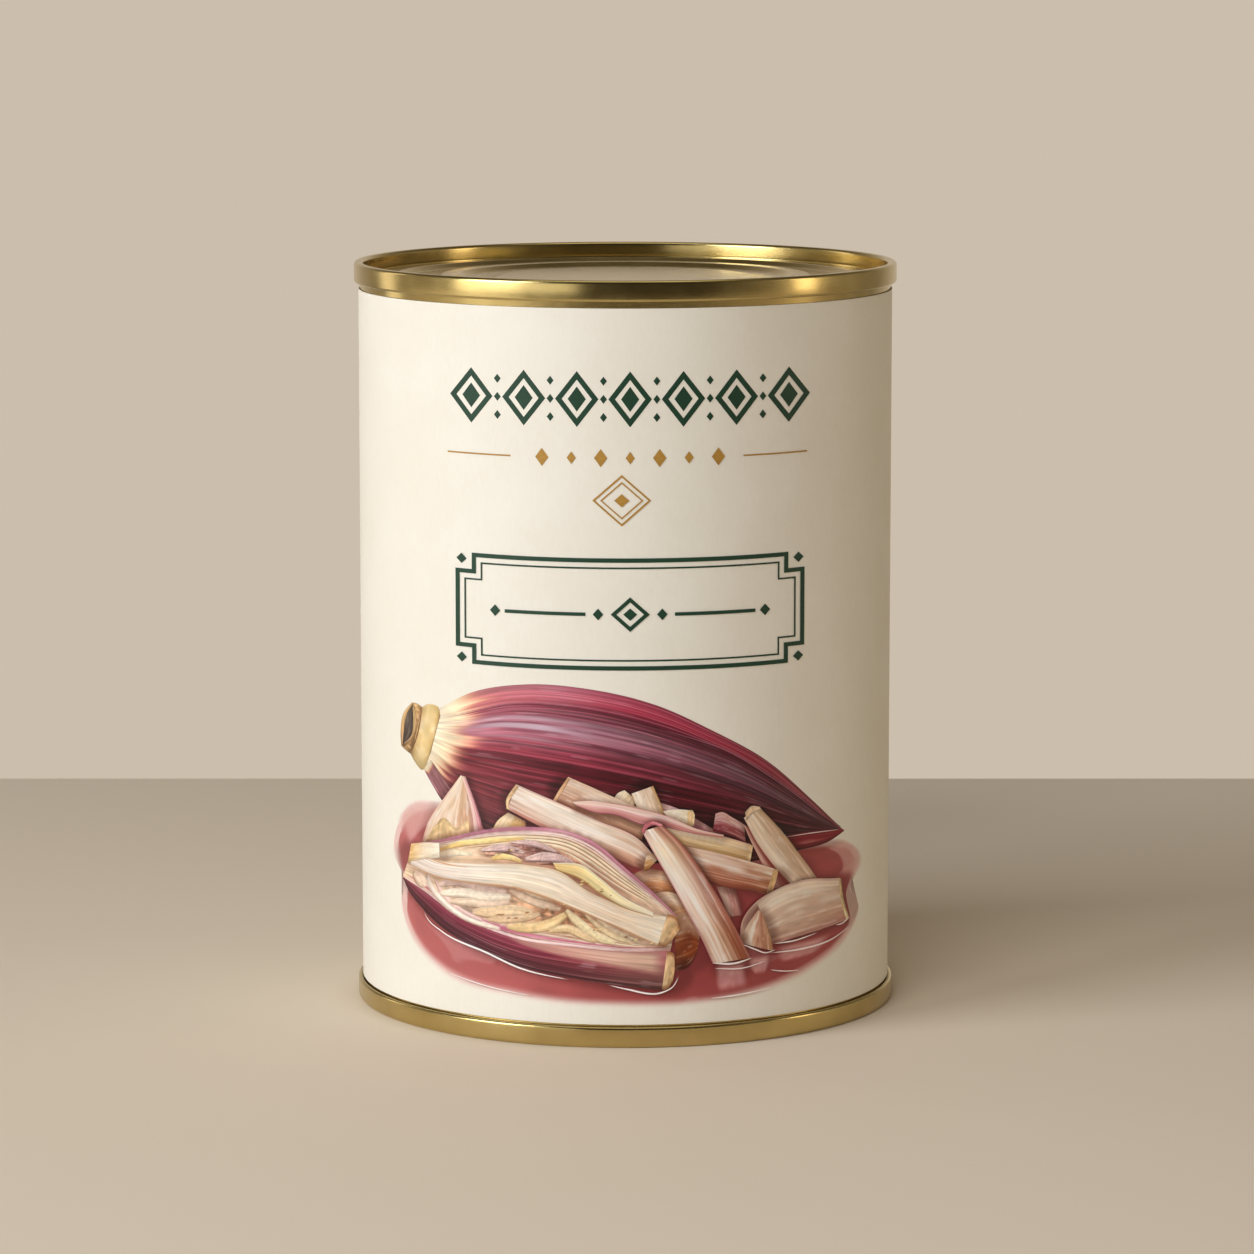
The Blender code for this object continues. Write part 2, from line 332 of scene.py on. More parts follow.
def take(piece: Piece) -> Piece:
    """Make a piece the only selected one, and the active one."""
    deselect_all()
    bpy.context.view_layer.objects.active = piece
    piece.select_set(True)
    return piece


def points_of(piece: Piece) -> np.ndarray:
    """A mesh's points, one row each."""
    found = np.empty(len(piece.data.vertices) * 3, np.float32)
    piece.data.vertices.foreach_get("co", found)
    return found.reshape(-1, 3).astype(float)


def move_points(piece: Piece, points: np.ndarray) -> None:
    """Put a mesh's points in new places."""
    piece.data.vertices.foreach_set("co", points.astype(np.float32).ravel())
    piece.data.update()


def fit_out(piece: Piece, material: Material, replaces: tuple[str, ...] = ()) -> None:
    """Dress a finished piece and tie it to the frame.

    Args:
        piece: The finished mesh object.
        material: Its material.
        replaces: The CAD nodes that it stands for.
    """
    piece.data.materials.clear()
    piece.data.materials.append(material)
    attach(piece, BODY)
    if replaces:
        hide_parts(*replaces)
    LOG.info("built %s: %d faces", piece.name, len(piece.data.polygons))


@dataclass(frozen=True)
class Corner:
    """A corner of a profile: radius from the axis, height, and the radius it is rounded to."""

    r: float
    z: float
    fillet: float = 0.0


def rounded(corners: list[Corner], steps: int = 6) -> Profile:
    """A profile through corners, each rounded by an arc of its own radius.

    Args:
        corners: The corners in order; the first and last stay sharp.
        steps: How many pieces an arc is cut into.

    Returns:
        The profile's points, (radius, height).
    """
    path = [(corners[0].r, corners[0].z)]
    for before, here, after in zip(corners, corners[1:], corners[2:]):
        at = Vector((here.r, here.z))
        back = Vector((before.r, before.z)) - at
        on = Vector((after.r, after.z)) - at
        half = back.angle(on) / 2
        if here.fillet <= 0 or abs(math.pi / 2 - half) < 0.01:
            path.append((here.r, here.z))
            continue
        reach = here.fillet / math.tan(half)
        middle = at + (back.normalized() + on.normalized()).normalized() * here.fillet / math.sin(half)
        start = at + back.normalized() * reach - middle
        end = at + on.normalized() * reach - middle
        turn = start.angle_signed(end)
        for step in range(steps + 1):
            angle = -turn * step / steps
            x = start.x * math.cos(angle) - start.y * math.sin(angle)
            y = start.x * math.sin(angle) + start.y * math.cos(angle)
            path.append((middle.x + x, middle.y + y))
    path.append((corners[-1].r, corners[-1].z))
    return path


def sheet_section(middle: Profile, thickness: float) -> Profile:
    """The outline of a bent sheet: up one side of its middle line and back down the other."""
    line = np.array(middle)
    along = np.gradient(line, axis=0)
    along /= np.linalg.norm(along, axis=1)[:, None]
    side = np.stack([along[:, 1], -along[:, 0]], axis=1) * thickness / 2
    if line[0][0] < 1e-6:
        side[0] = (0.0, math.copysign(thickness / 2, side[0][1]))
    out = line - side
    back = (line + side)[::-1]
    return [tuple(point) for point in np.vstack([out, back])]


class Lathe:
    """Turns an outline round the can's axis with the spin tool."""

    def __init__(self, steps: int = 240) -> None:
        """Set how many steps make a full turn."""
        self.steps = steps

    def turn(self, name: str, outline: Profile, closed: bool = True) -> Piece:
        """Spin an outline into a closed solid.

        Args:
            name: The new piece's name.
            outline: Points (radius, height); an open one starts and ends on the axis.
            closed: Whether the outline is a ring clear of the axis.

        Returns:
            The turned piece, its normals outwards.
        """
        deselect_all()
        bpy.ops.mesh.primitive_circle_add(vertices=len(outline), radius=0.01)
        piece = take(bpy.context.object)
        piece.name = name
        piece.data.name = name
        move_points(piece, np.array([(r, 0.0, z) for r, z in outline]))
        if not closed:
            last = len(outline) - 1
            for edge in piece.data.edges:
                edge.select = set(edge.vertices) == {0, last}
            for vert in piece.data.vertices:
                vert.select = vert.index in (0, last)
            bpy.ops.object.mode_set(mode="EDIT")
            bpy.ops.mesh.delete(type="EDGE_FACE")
            bpy.ops.object.mode_set(mode="OBJECT")
        bpy.ops.object.mode_set(mode="EDIT")
        bpy.ops.mesh.select_all(action="SELECT")
        bpy.ops.mesh.spin(
            steps=self.steps, angle=2 * math.pi, center=(0.0, 0.0, 0.0), axis=(0.0, 0.0, 1.0)
        )
        bpy.ops.mesh.select_all(action="SELECT")
        bpy.ops.mesh.remove_doubles(threshold=TOUCHING)
        bpy.ops.mesh.normals_make_consistent(inside=False)
        bpy.ops.object.mode_set(mode="OBJECT")
        bpy.ops.object.shade_smooth_by_angle(angle=SMOOTH_ANGLE)
        return piece


# ---- The can's metal ----


@dataclass
class SeamedCan:
    """The tinplate of the can: its two stamped ends, its body, and the rubber in its seams."""

    radius: float
    height: float
    plate: float = 0.18 * MM
    pitch: float = 0.30 * MM
    seam_height: float = 3.05 * MM
    crest: float = 0.42 * MM
    hook_depth: float = 1.35 * MM
    fold_share: float = 0.98
    play: float = 0.08 * MM

    def layer(self, number: int) -> float:
        """The middle radius of a seam's layer, from 0, the outside, to 4, the chuck wall."""
        return self.radius - self.plate / 2 - number * self.pitch

    def end_middle(self) -> Profile:
        """The middle line of the top end, from its centre out to its cover hook, depth downwards."""
        wall, hook, chuck = self.layer(0), self.layer(2), self.layer(4)
        top = self.height - self.plate / 2
        bend = (wall - hook) / 2 * self.fold_share
        bottom = self.height - self.seam_height + self.plate / 2
        # Radius, depth below the rim and fillet in millimetres, from the middle out to the chuck wall.
        panel = (
            (0.0, 2.45, 0.0), (18.9, 2.45, 0.5), (19.9, 2.75, 0.5), (24.0, 2.75, 0.6), (25.2, 2.15, 0.6),
            (27.4, 2.15, 0.6), (28.6, 2.75, 0.6), (33.4, 2.75, 0.6), (34.5, 2.15, 0.6), (37.0, 2.15, 0.45),
            (37.45, 4.15, 0.62), (38.85, 4.15, 0.62),
        )
        corners = [Corner(r * MM, self.height - deep * MM, fillet * MM) for r, deep, fillet in panel]
        corners += [
            Corner(chuck, self.height - 2.2 * MM, 1.0 * MM),
            Corner(chuck, top, self.crest),
            Corner(wall, top, self.crest),
            Corner(wall, bottom, bend),
            Corner(hook, bottom, bend),
            Corner(hook, self.height - self.hook_depth),
        ]
        return rounded(corners)

    def body_middle(self) -> Profile:
        """The middle line of the body, from its top hook down to its bottom hook."""
        wall, hook = self.layer(3), self.layer(1)
        bend = (hook - wall) / 2 * self.fold_share
        flange = 0.70 * MM
        tip = 2.55 * MM
        return rounded([
            Corner(hook, self.height - tip),
            Corner(hook, self.height - flange, bend),
            Corner(wall, self.height - flange, bend),
            Corner(wall, flange, bend),
            Corner(hook, flange, bend),
            Corner(hook, tip),
        ])

    def build(self, metal: Material, rubber: Material) -> None:
        """Build the ends, the body and the compound rings."""
        lathe = Lathe()
        section = sheet_section(self.end_middle(), self.plate)
        flipped = [(r, self.height - z) for r, z in section]
        top = lathe.turn("stamped_top_end", section, closed=False)
        bottom = lathe.turn("stamped_bottom_end", flipped, closed=False)
        body = lathe.turn("seamed_body", sheet_section(self.body_middle(), self.plate))
        fit_out(top, metal, ("top_end",))
        fit_out(bottom, metal, ("bottom_end",))
        fit_out(body, metal, ("can_body",))
        self.build_rubber(lathe, rubber)

    def build_rubber(self, lathe: Lathe, rubber: Material) -> None:
        """Build the ring of sealing compound under each rim."""
        inner = self.layer(4) + self.plate / 2 + self.play
        outer = self.layer(0) - self.plate / 2 - self.play
        middle = (inner + outer) / 2
        top = self.height - 0.27 * MM
        foot = top - 0.26 * MM
        soft = 0.1 * MM
        ring = rounded([
            Corner(middle, top),
            Corner(outer - soft, top, soft),
            Corner(outer, foot, soft),
            Corner(inner, foot, soft),
            Corner(inner + soft, top, soft),
            Corner(middle - soft, top),
        ])
        flipped = [(r, self.height - z) for r, z in ring]
        for side, outline in (("top", ring), ("bottom", flipped)):
            piece = lathe.turn(side + "_compound_ring", outline)
            fit_out(piece, rubber, (side + "_sealing_compound",))


# ---- The food in the can ----


class Relief(Enum):
    """What the surface of a blossom piece shows."""

    FIBRES = "long ribs of fibre"
    BRACTS = "the lapped edges of wrapped bracts"


@dataclass(frozen=True)
class PackedBlossom:
    """The cut strips and the hearts, each a soft ribbed body in the place of its CAD solid."""

    levels: int = 4
    rib: float = 0.35 * MM
    lap: float = 0.45 * MM
    crease: float = 0.75

    def soften(self, name: str, node: Piece, relief: Relief) -> Piece:
        """Round a coarse solid and work its surface.

        Args:
            name: The new piece's name.
            node: The CAD solid.
            relief: What its surface shows.

        Returns:
            The new piece, inside the solid.
        """
        deselect_all()
        piece = bpy.data.objects.new(name, node.data.copy())
        bpy.context.scene.collection.objects.link(piece)
        take(piece)
        bpy.ops.object.mode_set(mode="EDIT")
        bpy.ops.mesh.select_all(action="SELECT")
        bpy.ops.mesh.remove_doubles(threshold=TOUCHING)
        bpy.ops.mesh.tris_convert_to_quads()
        bpy.ops.mesh.select_all(action="DESELECT")
        bpy.ops.mesh.edges_select_sharp(sharpness=math.radians(60))
        bpy.ops.transform.edge_crease(value=self.crease)
        bpy.ops.object.mode_set(mode="OBJECT")
        smooth = piece.modifiers.new("Subdivision", "SUBSURF")
        smooth.levels = smooth.render_levels = self.levels
        bpy.ops.object.modifier_apply(modifier=smooth.name)
        self.work(piece, relief)
        take(piece)
        bpy.ops.object.shade_smooth_by_angle(angle=math.radians(60))
        return piece

    def work(self, piece: Piece, relief: Relief) -> None:
        """Press ribs or lapped bract edges into a piece, inwards only."""
        spots = points_of(piece)
        low, high = spots.min(axis=0), spots.max(axis=0)
        normals = np.array([vert.normal for vert in piece.data.vertices])
        middle = (low + high) / 2
        turn = np.arctan2(spots[:, 1] - middle[1], spots[:, 0] - middle[0]) / (2 * math.pi)
        rise = (spots[:, 2] - low[2]) / (high[2] - low[2])
        if relief is Relief.BRACTS:
            depth = self.lap * (1 - (4 * turn + 1.6 * rise) % 1.0)
        else:
            across = (spots[:, 0] * normals[:, 1] - spots[:, 1] * normals[:, 0]) / MM
            depth = self.rib * (0.5 + 0.5 * Grain(43).at(across * 0.9 + 60, rise * 3 + 60))
        side = 1 - np.abs(normals[:, 2]) ** 2
        move_points(piece, spots - normals * (depth * side)[:, None])

    def build(self, nodes: dict[str, Piece]) -> None:
        """Build every strip and heart."""
        strip = BrinedFlesh("blossom_flesh", srgb(0xF0E0C4), srgb(0xE2B0A0), srgb(0xFCF4E4)).make()
        heart = BrinedFlesh("blossom_heart", srgb(0xCE8C8C), srgb(0xA04E5C), srgb(0xECCABE)).make()
        for name in sorted(nodes):
            if name.startswith("blossom_strip"):
                piece = self.soften(name.replace("blossom", "cut"), nodes[name], Relief.FIBRES)
                fit_out(piece, strip, (name,))
            elif name.startswith("blossom_heart"):
                piece = self.soften(name.replace("blossom", "wrapped"), nodes[name], Relief.BRACTS)
                fit_out(piece, heart, (name,))


# ---- The paper label ----


@dataclass
class WrappedLabel:
    """The paper wrapped once round the body, lapped and glued at the back."""

    radius: float
    bottom: float
    top: float
    paper: float = 0.12 * MM
    lap_degrees: float = 18.0
    lap_gap: float = 0.16 * MM
    rise_degrees: float = 9.0
    wave: float = 0.012 * MM
    waves: int = 5
    glue_film: float = 0.06 * MM
    columns: int = 400
    rows: int = 48

    def face(self) -> float:
        """The radius of the paper's printed face, away from the lap."""
        return self.radius + self.paper / 2

    def cockle(self, turn: np.ndarray, height: np.ndarray) -> np.ndarray:
        """How far the paper stands off the can in faint waves, at angles round from its start."""
        rise = (height - self.bottom) / (self.top - self.bottom)
        return self.wave * np.sin(self.waves * turn) * np.sin(math.pi * rise)

    def cockled_radius(self, angle: np.ndarray, height: np.ndarray) -> np.ndarray:
        """The printed face's radius at angles round from +X and heights, away from the lap."""
        return self.face() + self.cockle(angle - math.pi / 2, height)

    def build(self, paper: Material) -> None:
        """Roll a flat sheet round the can."""
        deselect_all()
        bpy.ops.mesh.primitive_grid_add(x_subdivisions=self.columns, y_subdivisions=self.rows, size=1.0)
        sheet = take(bpy.context.object)
        sheet.name = "wrapped_label"
        flat = points_of(sheet)
        turn = math.radians(360 + self.lap_degrees) * (flat[:, 0] + 0.5)
        angle = math.pi / 2 + turn
        rise = math.radians(self.rise_degrees)
        step = smooth_step(0, 1, (turn - math.radians(360 - self.rise_degrees)) / rise)
        height = self.bottom + (self.top - self.bottom) * (flat[:, 1] + 0.5)
        radius = self.radius + step * (self.paper + self.lap_gap) + self.cockle(turn, height)
        rolled = np.stack([radius * np.cos(angle), radius * np.sin(angle), height], axis=1)
        move_points(sheet, rolled)
        self.thicken(sheet, self.paper)
        fit_out(sheet, paper, ("paper_label",))

    def glue(self, node: str, gap: float, degrees: float, material: Material) -> None:
        """Brush a film of glue round a part of the can, with the brush's ragged edge.

        Args:
            node: The CAD node that the film stands for.
            gap: How far the film's middle lies outside the paper's.
            degrees: How far round it goes from the label's start.
            material: The glue's material.
        """
        deselect_all()
        bpy.ops.mesh.primitive_grid_add(x_subdivisions=12, y_subdivisions=4 * self.rows, size=1.0)
        film = take(bpy.context.object)
        film.name = node.replace("label_", "brushed_")
        low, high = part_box(node)
        across, up = (points_of(film)[:, :2] + 0.5).T
        ragged = 0.05 * Grain(61).at(up * 70, up * 0) - 0.05
        angle = math.pi / 2 + math.radians(degrees) * across * (1 + ragged)
        height = low.z + (high.z - low.z) * up
        radius = self.radius + gap + self.cockle(angle - math.pi / 2, height)
        rolled = np.stack([radius * np.cos(angle), radius * np.sin(angle), height], axis=1)
        move_points(film, rolled)
        self.thicken(film, self.glue_film)
        fit_out(film, material, (node,))

    def thicken(self, sheet: Piece, thickness: float) -> None:
        """Give a sheet its thickness, faces outwards."""
        take(sheet)
        wall = sheet.modifiers.new("Solidify", "SOLIDIFY")
        wall.thickness = thickness
        wall.offset = 0.0
        bpy.ops.object.modifier_apply(modifier=wall.name)
        bpy.ops.object.shade_smooth_by_angle(angle=SMOOTH_ANGLE)


# ---- Printing: lines, patches and paints on the label's face ----

Spot = tuple[float, float]
Spots = tuple[Spot, ...]
Print = int


def smooth_step(low: float, high: float, value: np.ndarray) -> np.ndarray:
    """Rise from 0 at low to 1 at high with soft ends."""
    share = np.clip((value - low) / (high - low), 0, 1)
    return share * share * (3 - 2 * share)


def shade(colour: Print) -> np.ndarray:
    """A printed colour, 0xRRGGBB, as display values from 0 to 1."""
    return np.array(list(colour.to_bytes(3, "big"))) / 255


def toned(colour: Print, times: float = 1.0, lift: int = 0) -> Print:
    """A printed colour with its channels multiplied and then raised."""
    return int.from_bytes(min(255, int(channel * times) + lift) for channel in colour.to_bytes(3, "big"))


def ramp(value: np.ndarray, stops: tuple[Print, ...]) -> np.ndarray:
    """Blend through evenly spaced printed colours."""
    places = np.linspace(0, 1, len(stops))
    table = np.array([shade(stop) for stop in stops])
    return np.stack([np.interp(value, places, table[:, channel]) for channel in range(3)], axis=1)


def level(value: np.ndarray, stops: tuple[float, ...]) -> np.ndarray:
    """Read a value from 0 to 1 through evenly spaced levels."""
    return np.interp(value, np.linspace(0, 1, len(stops)), stops)


def mix(first: np.ndarray, second: np.ndarray, share: np.ndarray) -> np.ndarray:
    """Blend rows of colours by a share for each row."""
    return first + (second - first) * share[:, None]


class Grain:
    """Repeatable smooth noise between -1 and 1, for painted fibres and mottle."""

    def __init__(self, seed: int, size: int = 256) -> None:
        """Draw the lattice of values."""
        self.size = size
        self.table = np.random.default_rng(seed).uniform(-1, 1, (size, size))

    def at(self, first: np.ndarray, second: np.ndarray) -> np.ndarray:
        """The noise at two coordinates, one lattice cell to a unit."""
        column, row = np.floor(first).astype(int), np.floor(second).astype(int)
        x, y = first - column, second - row
        x, y = x * x * (3 - 2 * x), y * y * (3 - 2 * y)
        a = self.table[column % self.size, row % self.size]
        b = self.table[(column + 1) % self.size, row % self.size]
        c = self.table[column % self.size, (row + 1) % self.size]
        d = self.table[(column + 1) % self.size, (row + 1) % self.size]
        return (a * (1 - x) + b * x) * (1 - y) + (c * (1 - x) + d * x) * y


class Line:
    """A line through a few points on the label, in millimetres, either smooth or straight."""

    def __init__(self, *points: Spot, smooth: bool = True) -> None:
        """Keep the points, and their tangents if the line is smooth."""
        self.points = np.array(points, float)
        self.smooth = smooth and len(points) > 2
        reach = np.linalg.norm(np.diff(self.points, axis=0), axis=1)
        self.length = float(reach.sum())
        if self.smooth:
            self.knots = np.concatenate([[0], np.cumsum(reach)]) / self.length
            self.slopes = np.gradient(self.points, self.knots, axis=0)
        else:
            self.knots = np.linspace(0, 1, len(points))

    def at(self, share: np.ndarray) -> np.ndarray:
        """The points at shares of the way along."""
        share = np.clip(share, 0, 1)
        if not self.smooth:
            return np.stack([np.interp(share, self.knots, self.points[:, k]) for k in (0, 1)], axis=1)
        cell = np.clip(np.searchsorted(self.knots, share, "right") - 1, 0, len(self.knots) - 2)
        span = self.knots[cell + 1] - self.knots[cell]
        t = ((share - self.knots[cell]) / span)[:, None]
        span = span[:, None]
        start, end = self.points[cell], self.points[cell + 1]
        return (
            (2 * t**3 - 3 * t**2 + 1) * start + (t**3 - 2 * t**2 + t) * span * self.slopes[cell]
            + (3 * t**2 - 2 * t**3) * end + (t**3 - t**2) * span * self.slopes[cell + 1]
        )

    def beside(self, offsets: tuple[float, ...], samples: int = 20) -> "Line":
        """A line alongside this one, its offset read through the given values from end to end."""
        share = np.linspace(0, 1, samples)
        spots = self.at(share)
        way = np.gradient(spots, axis=0)
        way /= np.linalg.norm(way, axis=1)[:, None]
        side = np.stack([-way[:, 1], way[:, 0]], axis=1)
        offset = np.interp(share, np.linspace(0, 1, len(offsets)), offsets)
        return Line(*map(tuple, spots + side * offset[:, None]))

    def toward(self, other: "Line", share: float, start: float = 0.0, end: float = 1.0) -> "Line":
        """The line that lies a share of the way to another, over a stretch of both."""
        along = np.linspace(start, end, 20)
        return Line(*map(tuple, self.at(along) * (1 - share) + other.at(along) * share))


@dataclass(frozen=True)
class Patch:
    """The area between two lines that run the same way: the first is above, or to the left."""

    first: Line
    second: Line

    def at(self, along: np.ndarray, across: np.ndarray) -> np.ndarray:
        """The points at shares along and across."""
        share = across[:, None]
        return self.first.at(along) * (1 - share) + self.second.at(along) * share

    def width(self) -> float:
        """The widest distance between the two lines."""
        along = np.linspace(0, 1, 24)
        return float(np.linalg.norm(self.first.at(along) - self.second.at(along), axis=1).max())

    def discs(self, count: int = 26) -> tuple[np.ndarray, np.ndarray]:
        """Circles that fill the patch: their centres and radii."""
        along = np.linspace(0.02, 0.98, count)
        one, two = self.first.at(along), self.second.at(along)
        return (one + two) / 2, np.linalg.norm(one - two, axis=1) / 2


def stroke(centre: Line, *widths: float) -> Patch:
    """A painted stroke along a centre line, its width read through the given values."""
    halves = tuple(width / 2 for width in widths)
    return Patch(centre.beside(halves), centre.beside(tuple(-half for half in halves)))


@dataclass(frozen=True)
class Paint:
    """How a patch is coloured: along it, across it, with fibres, rims, shading and shine.

    Spacing is how far apart its points lie, as a share of the usual distance.
    """

    along: tuple[Print, ...]
    across: tuple[Print, ...] = ()
    across_share: float = 0.5
    rims: tuple[Print, Print] | None = None
    rim_reach: tuple[float, float] = (0.2, 0.2)
    fibres: float = 0.05
    fibre_count: float = 12.0
    fibre_length: float = 3.0
    fibre_tint: Print = 0xFFFAEB
    fibre_tint_share: float = 0.25
    mottle: float = 0.02
    round_shade: float = 0.12
    round_middle: float = 0.4
    shine: float = 0.0
    shine_place: float = 0.3
    shine_width: float = 0.12
    shine_tint: Print = 0xFFFFFF
    shine_along: tuple[float, ...] = (1.0,)
    wet: float = 0.0
    spacing: float = 1.0
    flat: bool = False
    light: tuple[float, ...] = (1.0,)
    ends: tuple[float, float] = (0.0, 0.0)
    cover: float = 1.0
    fade_side: float = 0.0
    fade_end: float = 0.0
    seed: int = 1

    def base(self, along: np.ndarray, across: np.ndarray, grain: Grain) -> np.ndarray:
        """The plain colour before fibres and light."""
        colour = ramp(along, self.along)
        if self.across:
            colour = mix(colour, ramp(across, self.across), np.full(len(along), self.across_share))
        if self.rims:
            wander = 1 + 0.5 * grain.at(along * 4, across * 0 + 3.3)
            first = 1 - smooth_step(0, 1, across / (self.rim_reach[0] * wander + 1e-6))
            second = 1 - smooth_step(0, 1, (1 - across) / (self.rim_reach[1] * wander + 1e-6))
            colour = mix(mix(colour, shade(self.rims[0]), first), shade(self.rims[1]), second)
        return colour

    def colours(self, along: np.ndarray, across: np.ndarray) -> np.ndarray:
        """The finished colour at shares along and across."""
        grain = Grain(self.seed)
        colour = self.base(along, across, grain)
        turned = across if self.flat else np.arccos(np.clip(1 - 2 * across, -1, 1)) / math.pi
        lines = turned * self.fibre_count
        thread = grain.at(lines, along * self.fibre_length)
        thin = grain.at(lines * 2.7 + 40, along * self.fibre_length * 1.6 + 9)
        spots = grain.at(lines * 1.3 + 90, along * self.fibre_length * 9 + 5)
        strength = self.streaks(along)
        tone = 1 + self.fibres * strength * (thread + 0.9 * thin) + self.mottle * spots
        light = level(along, self.light) - self.round_shade * np.abs((across - self.round_middle) * 2) ** 2.2
        light -= smooth_step(0.12, 0.0, along) * self.ends[0] + smooth_step(0.88, 1.0, along) * self.ends[1]
        colour = colour * (tone * light)[:, None]
        tint = np.clip(thin + 0.6 * thread - 0.2, 0, 1) * self.fibre_tint_share * strength
        colour = mix(colour, shade(self.fibre_tint), tint)
        if self.shine:
            gloss = np.exp(-(((across - self.shine_place) / self.shine_width) ** 2))
            broken = np.clip(0.6 + 0.8 * grain.at(along * 5 + 70, lines), 0, 1)
            gloss *= broken * level(along, self.shine_along)
            colour = mix(colour, shade(self.shine_tint), np.clip(gloss * self.shine, 0, 1))
        if self.wet:
            glint = grain.at(lines * 1.4 + 7, along * self.fibre_length * 6 + 31)
            colour = mix(colour, np.ones(3), smooth_step(0.6, 0.8, glint) * self.wet)
        return colour

    def streaks(self, along: np.ndarray) -> np.ndarray:
        """How strong the fibres are at shares along."""
        return np.ones(len(along))

    def covers(self, along: np.ndarray, across: np.ndarray) -> np.ndarray:
        """How much of the paper the ink hides."""
        cover = np.full(len(along), self.cover)
        if self.fade_side:
            cover *= smooth_step(0, self.fade_side, across) * smooth_step(0, self.fade_side, 1 - across)
        if self.fade_end:
            cover *= smooth_step(0, self.fade_end, along) * smooth_step(0, self.fade_end, 1 - along)
        return cover


@dataclass(frozen=True)
class BractPaint(Paint):
    """A blossom bract: cream where it leaves the stalk, fanning out into its own colours."""

    root: tuple[Print, ...] = (0xFDF2D4, 0xFAE6BE, 0xE8A684, 0xBE6258)
    root_reach: float = 0.2
    root_middle: float = 0.3
    tip: Print = 0x601E26
    tip_share: float = 0.8

    def streaks(self, along: np.ndarray) -> np.ndarray:
        """The fibres fade into the pale root."""
        return 0.15 + 0.85 * smooth_step(0.4, 1.3, along / self.root_reach)

    def base(self, along: np.ndarray, across: np.ndarray, grain: Grain) -> np.ndarray:
        """The bract's own colours, with the root and the tip blended in along the fibres."""
        colour = Paint.base(self, along, across, grain)
        thread = grain.at(across * self.fibre_count * 0.4 + 11, along * 1.5)
        reach = self.root_reach * (1.25 - 0.9 * np.abs(across - self.root_middle)) * (1 + 0.3 * thread)
        near = np.clip(along / reach, 0, 1)
        colour = mix(ramp(near, self.root), colour, smooth_step(0.45, 1.0, near))
        return mix(colour, shade(self.tip), smooth_step(0.62, 1.0, along) * self.tip_share)


@dataclass(frozen=True)
class PlainInk(Paint):
    """Even ink, with no fibres and no shading."""

    fibres: float = 0.0
    fibre_tint_share: float = 0.0
    mottle: float = 0.0
    round_shade: float = 0.0


def line_ink(colour: Print, cover: float) -> PlainInk:
    """The ink of a plain line, soft at its sides and ends."""
    return PlainInk(along=(colour,), cover=cover, fade_side=0.35, fade_end=0.08)


Part = tuple[Patch, Paint]


@dataclass
class Item:
    """One painted item of the picture: its patches, its paints and whether it shades what is under."""

    name: str
    parts: list[Part]
    casts: float = 0.0
    takes: float = 1.0


class Canvas:
    """What has been printed so far, on a fine grid, for the inks that let it show through."""

    cell = 0.3
    low = np.array([-37.0, 4.0])
    high = np.array([37.0, 100.0])

    def __init__(self) -> None:
        """Start with bare paper."""
        self.count = np.ceil((self.high - self.low) / self.cell).astype(int)
        self.ink = np.zeros((*self.count, 4))

    def read(self, spots: np.ndarray) -> np.ndarray:
        """The ink at places in millimetres: three colours and a cover, a row for each."""
        where = np.clip((spots - self.low) / self.cell - 0.5, 0, self.count - 1.001)
        x, z = np.floor(where).astype(int).T
        u, v = (where - np.floor(where)).T[:, :, None]
        lower = self.ink[x, z] * (1 - u) + self.ink[x + 1, z] * u
        upper = self.ink[x, z + 1] * (1 - u) + self.ink[x + 1, z + 1] * u
        return lower * (1 - v) + upper * v

    def write(self, spots: np.ndarray, ink: np.ndarray) -> None:
        """Print over the cells that the places lie in."""
        x, z = np.clip((spots - self.low) / self.cell, 0, self.count - 1).astype(int).T
        cells = x * self.count[1] + z
        size = int(self.count.prod())
        hits = np.bincount(cells, minlength=size)
        printed = hits > 0
        flat = self.ink.reshape(-1, 4)
        for channel in range(4):
            total = np.bincount(cells, ink[:, channel], size)
            flat[printed, channel] = total[printed] / hits[printed]


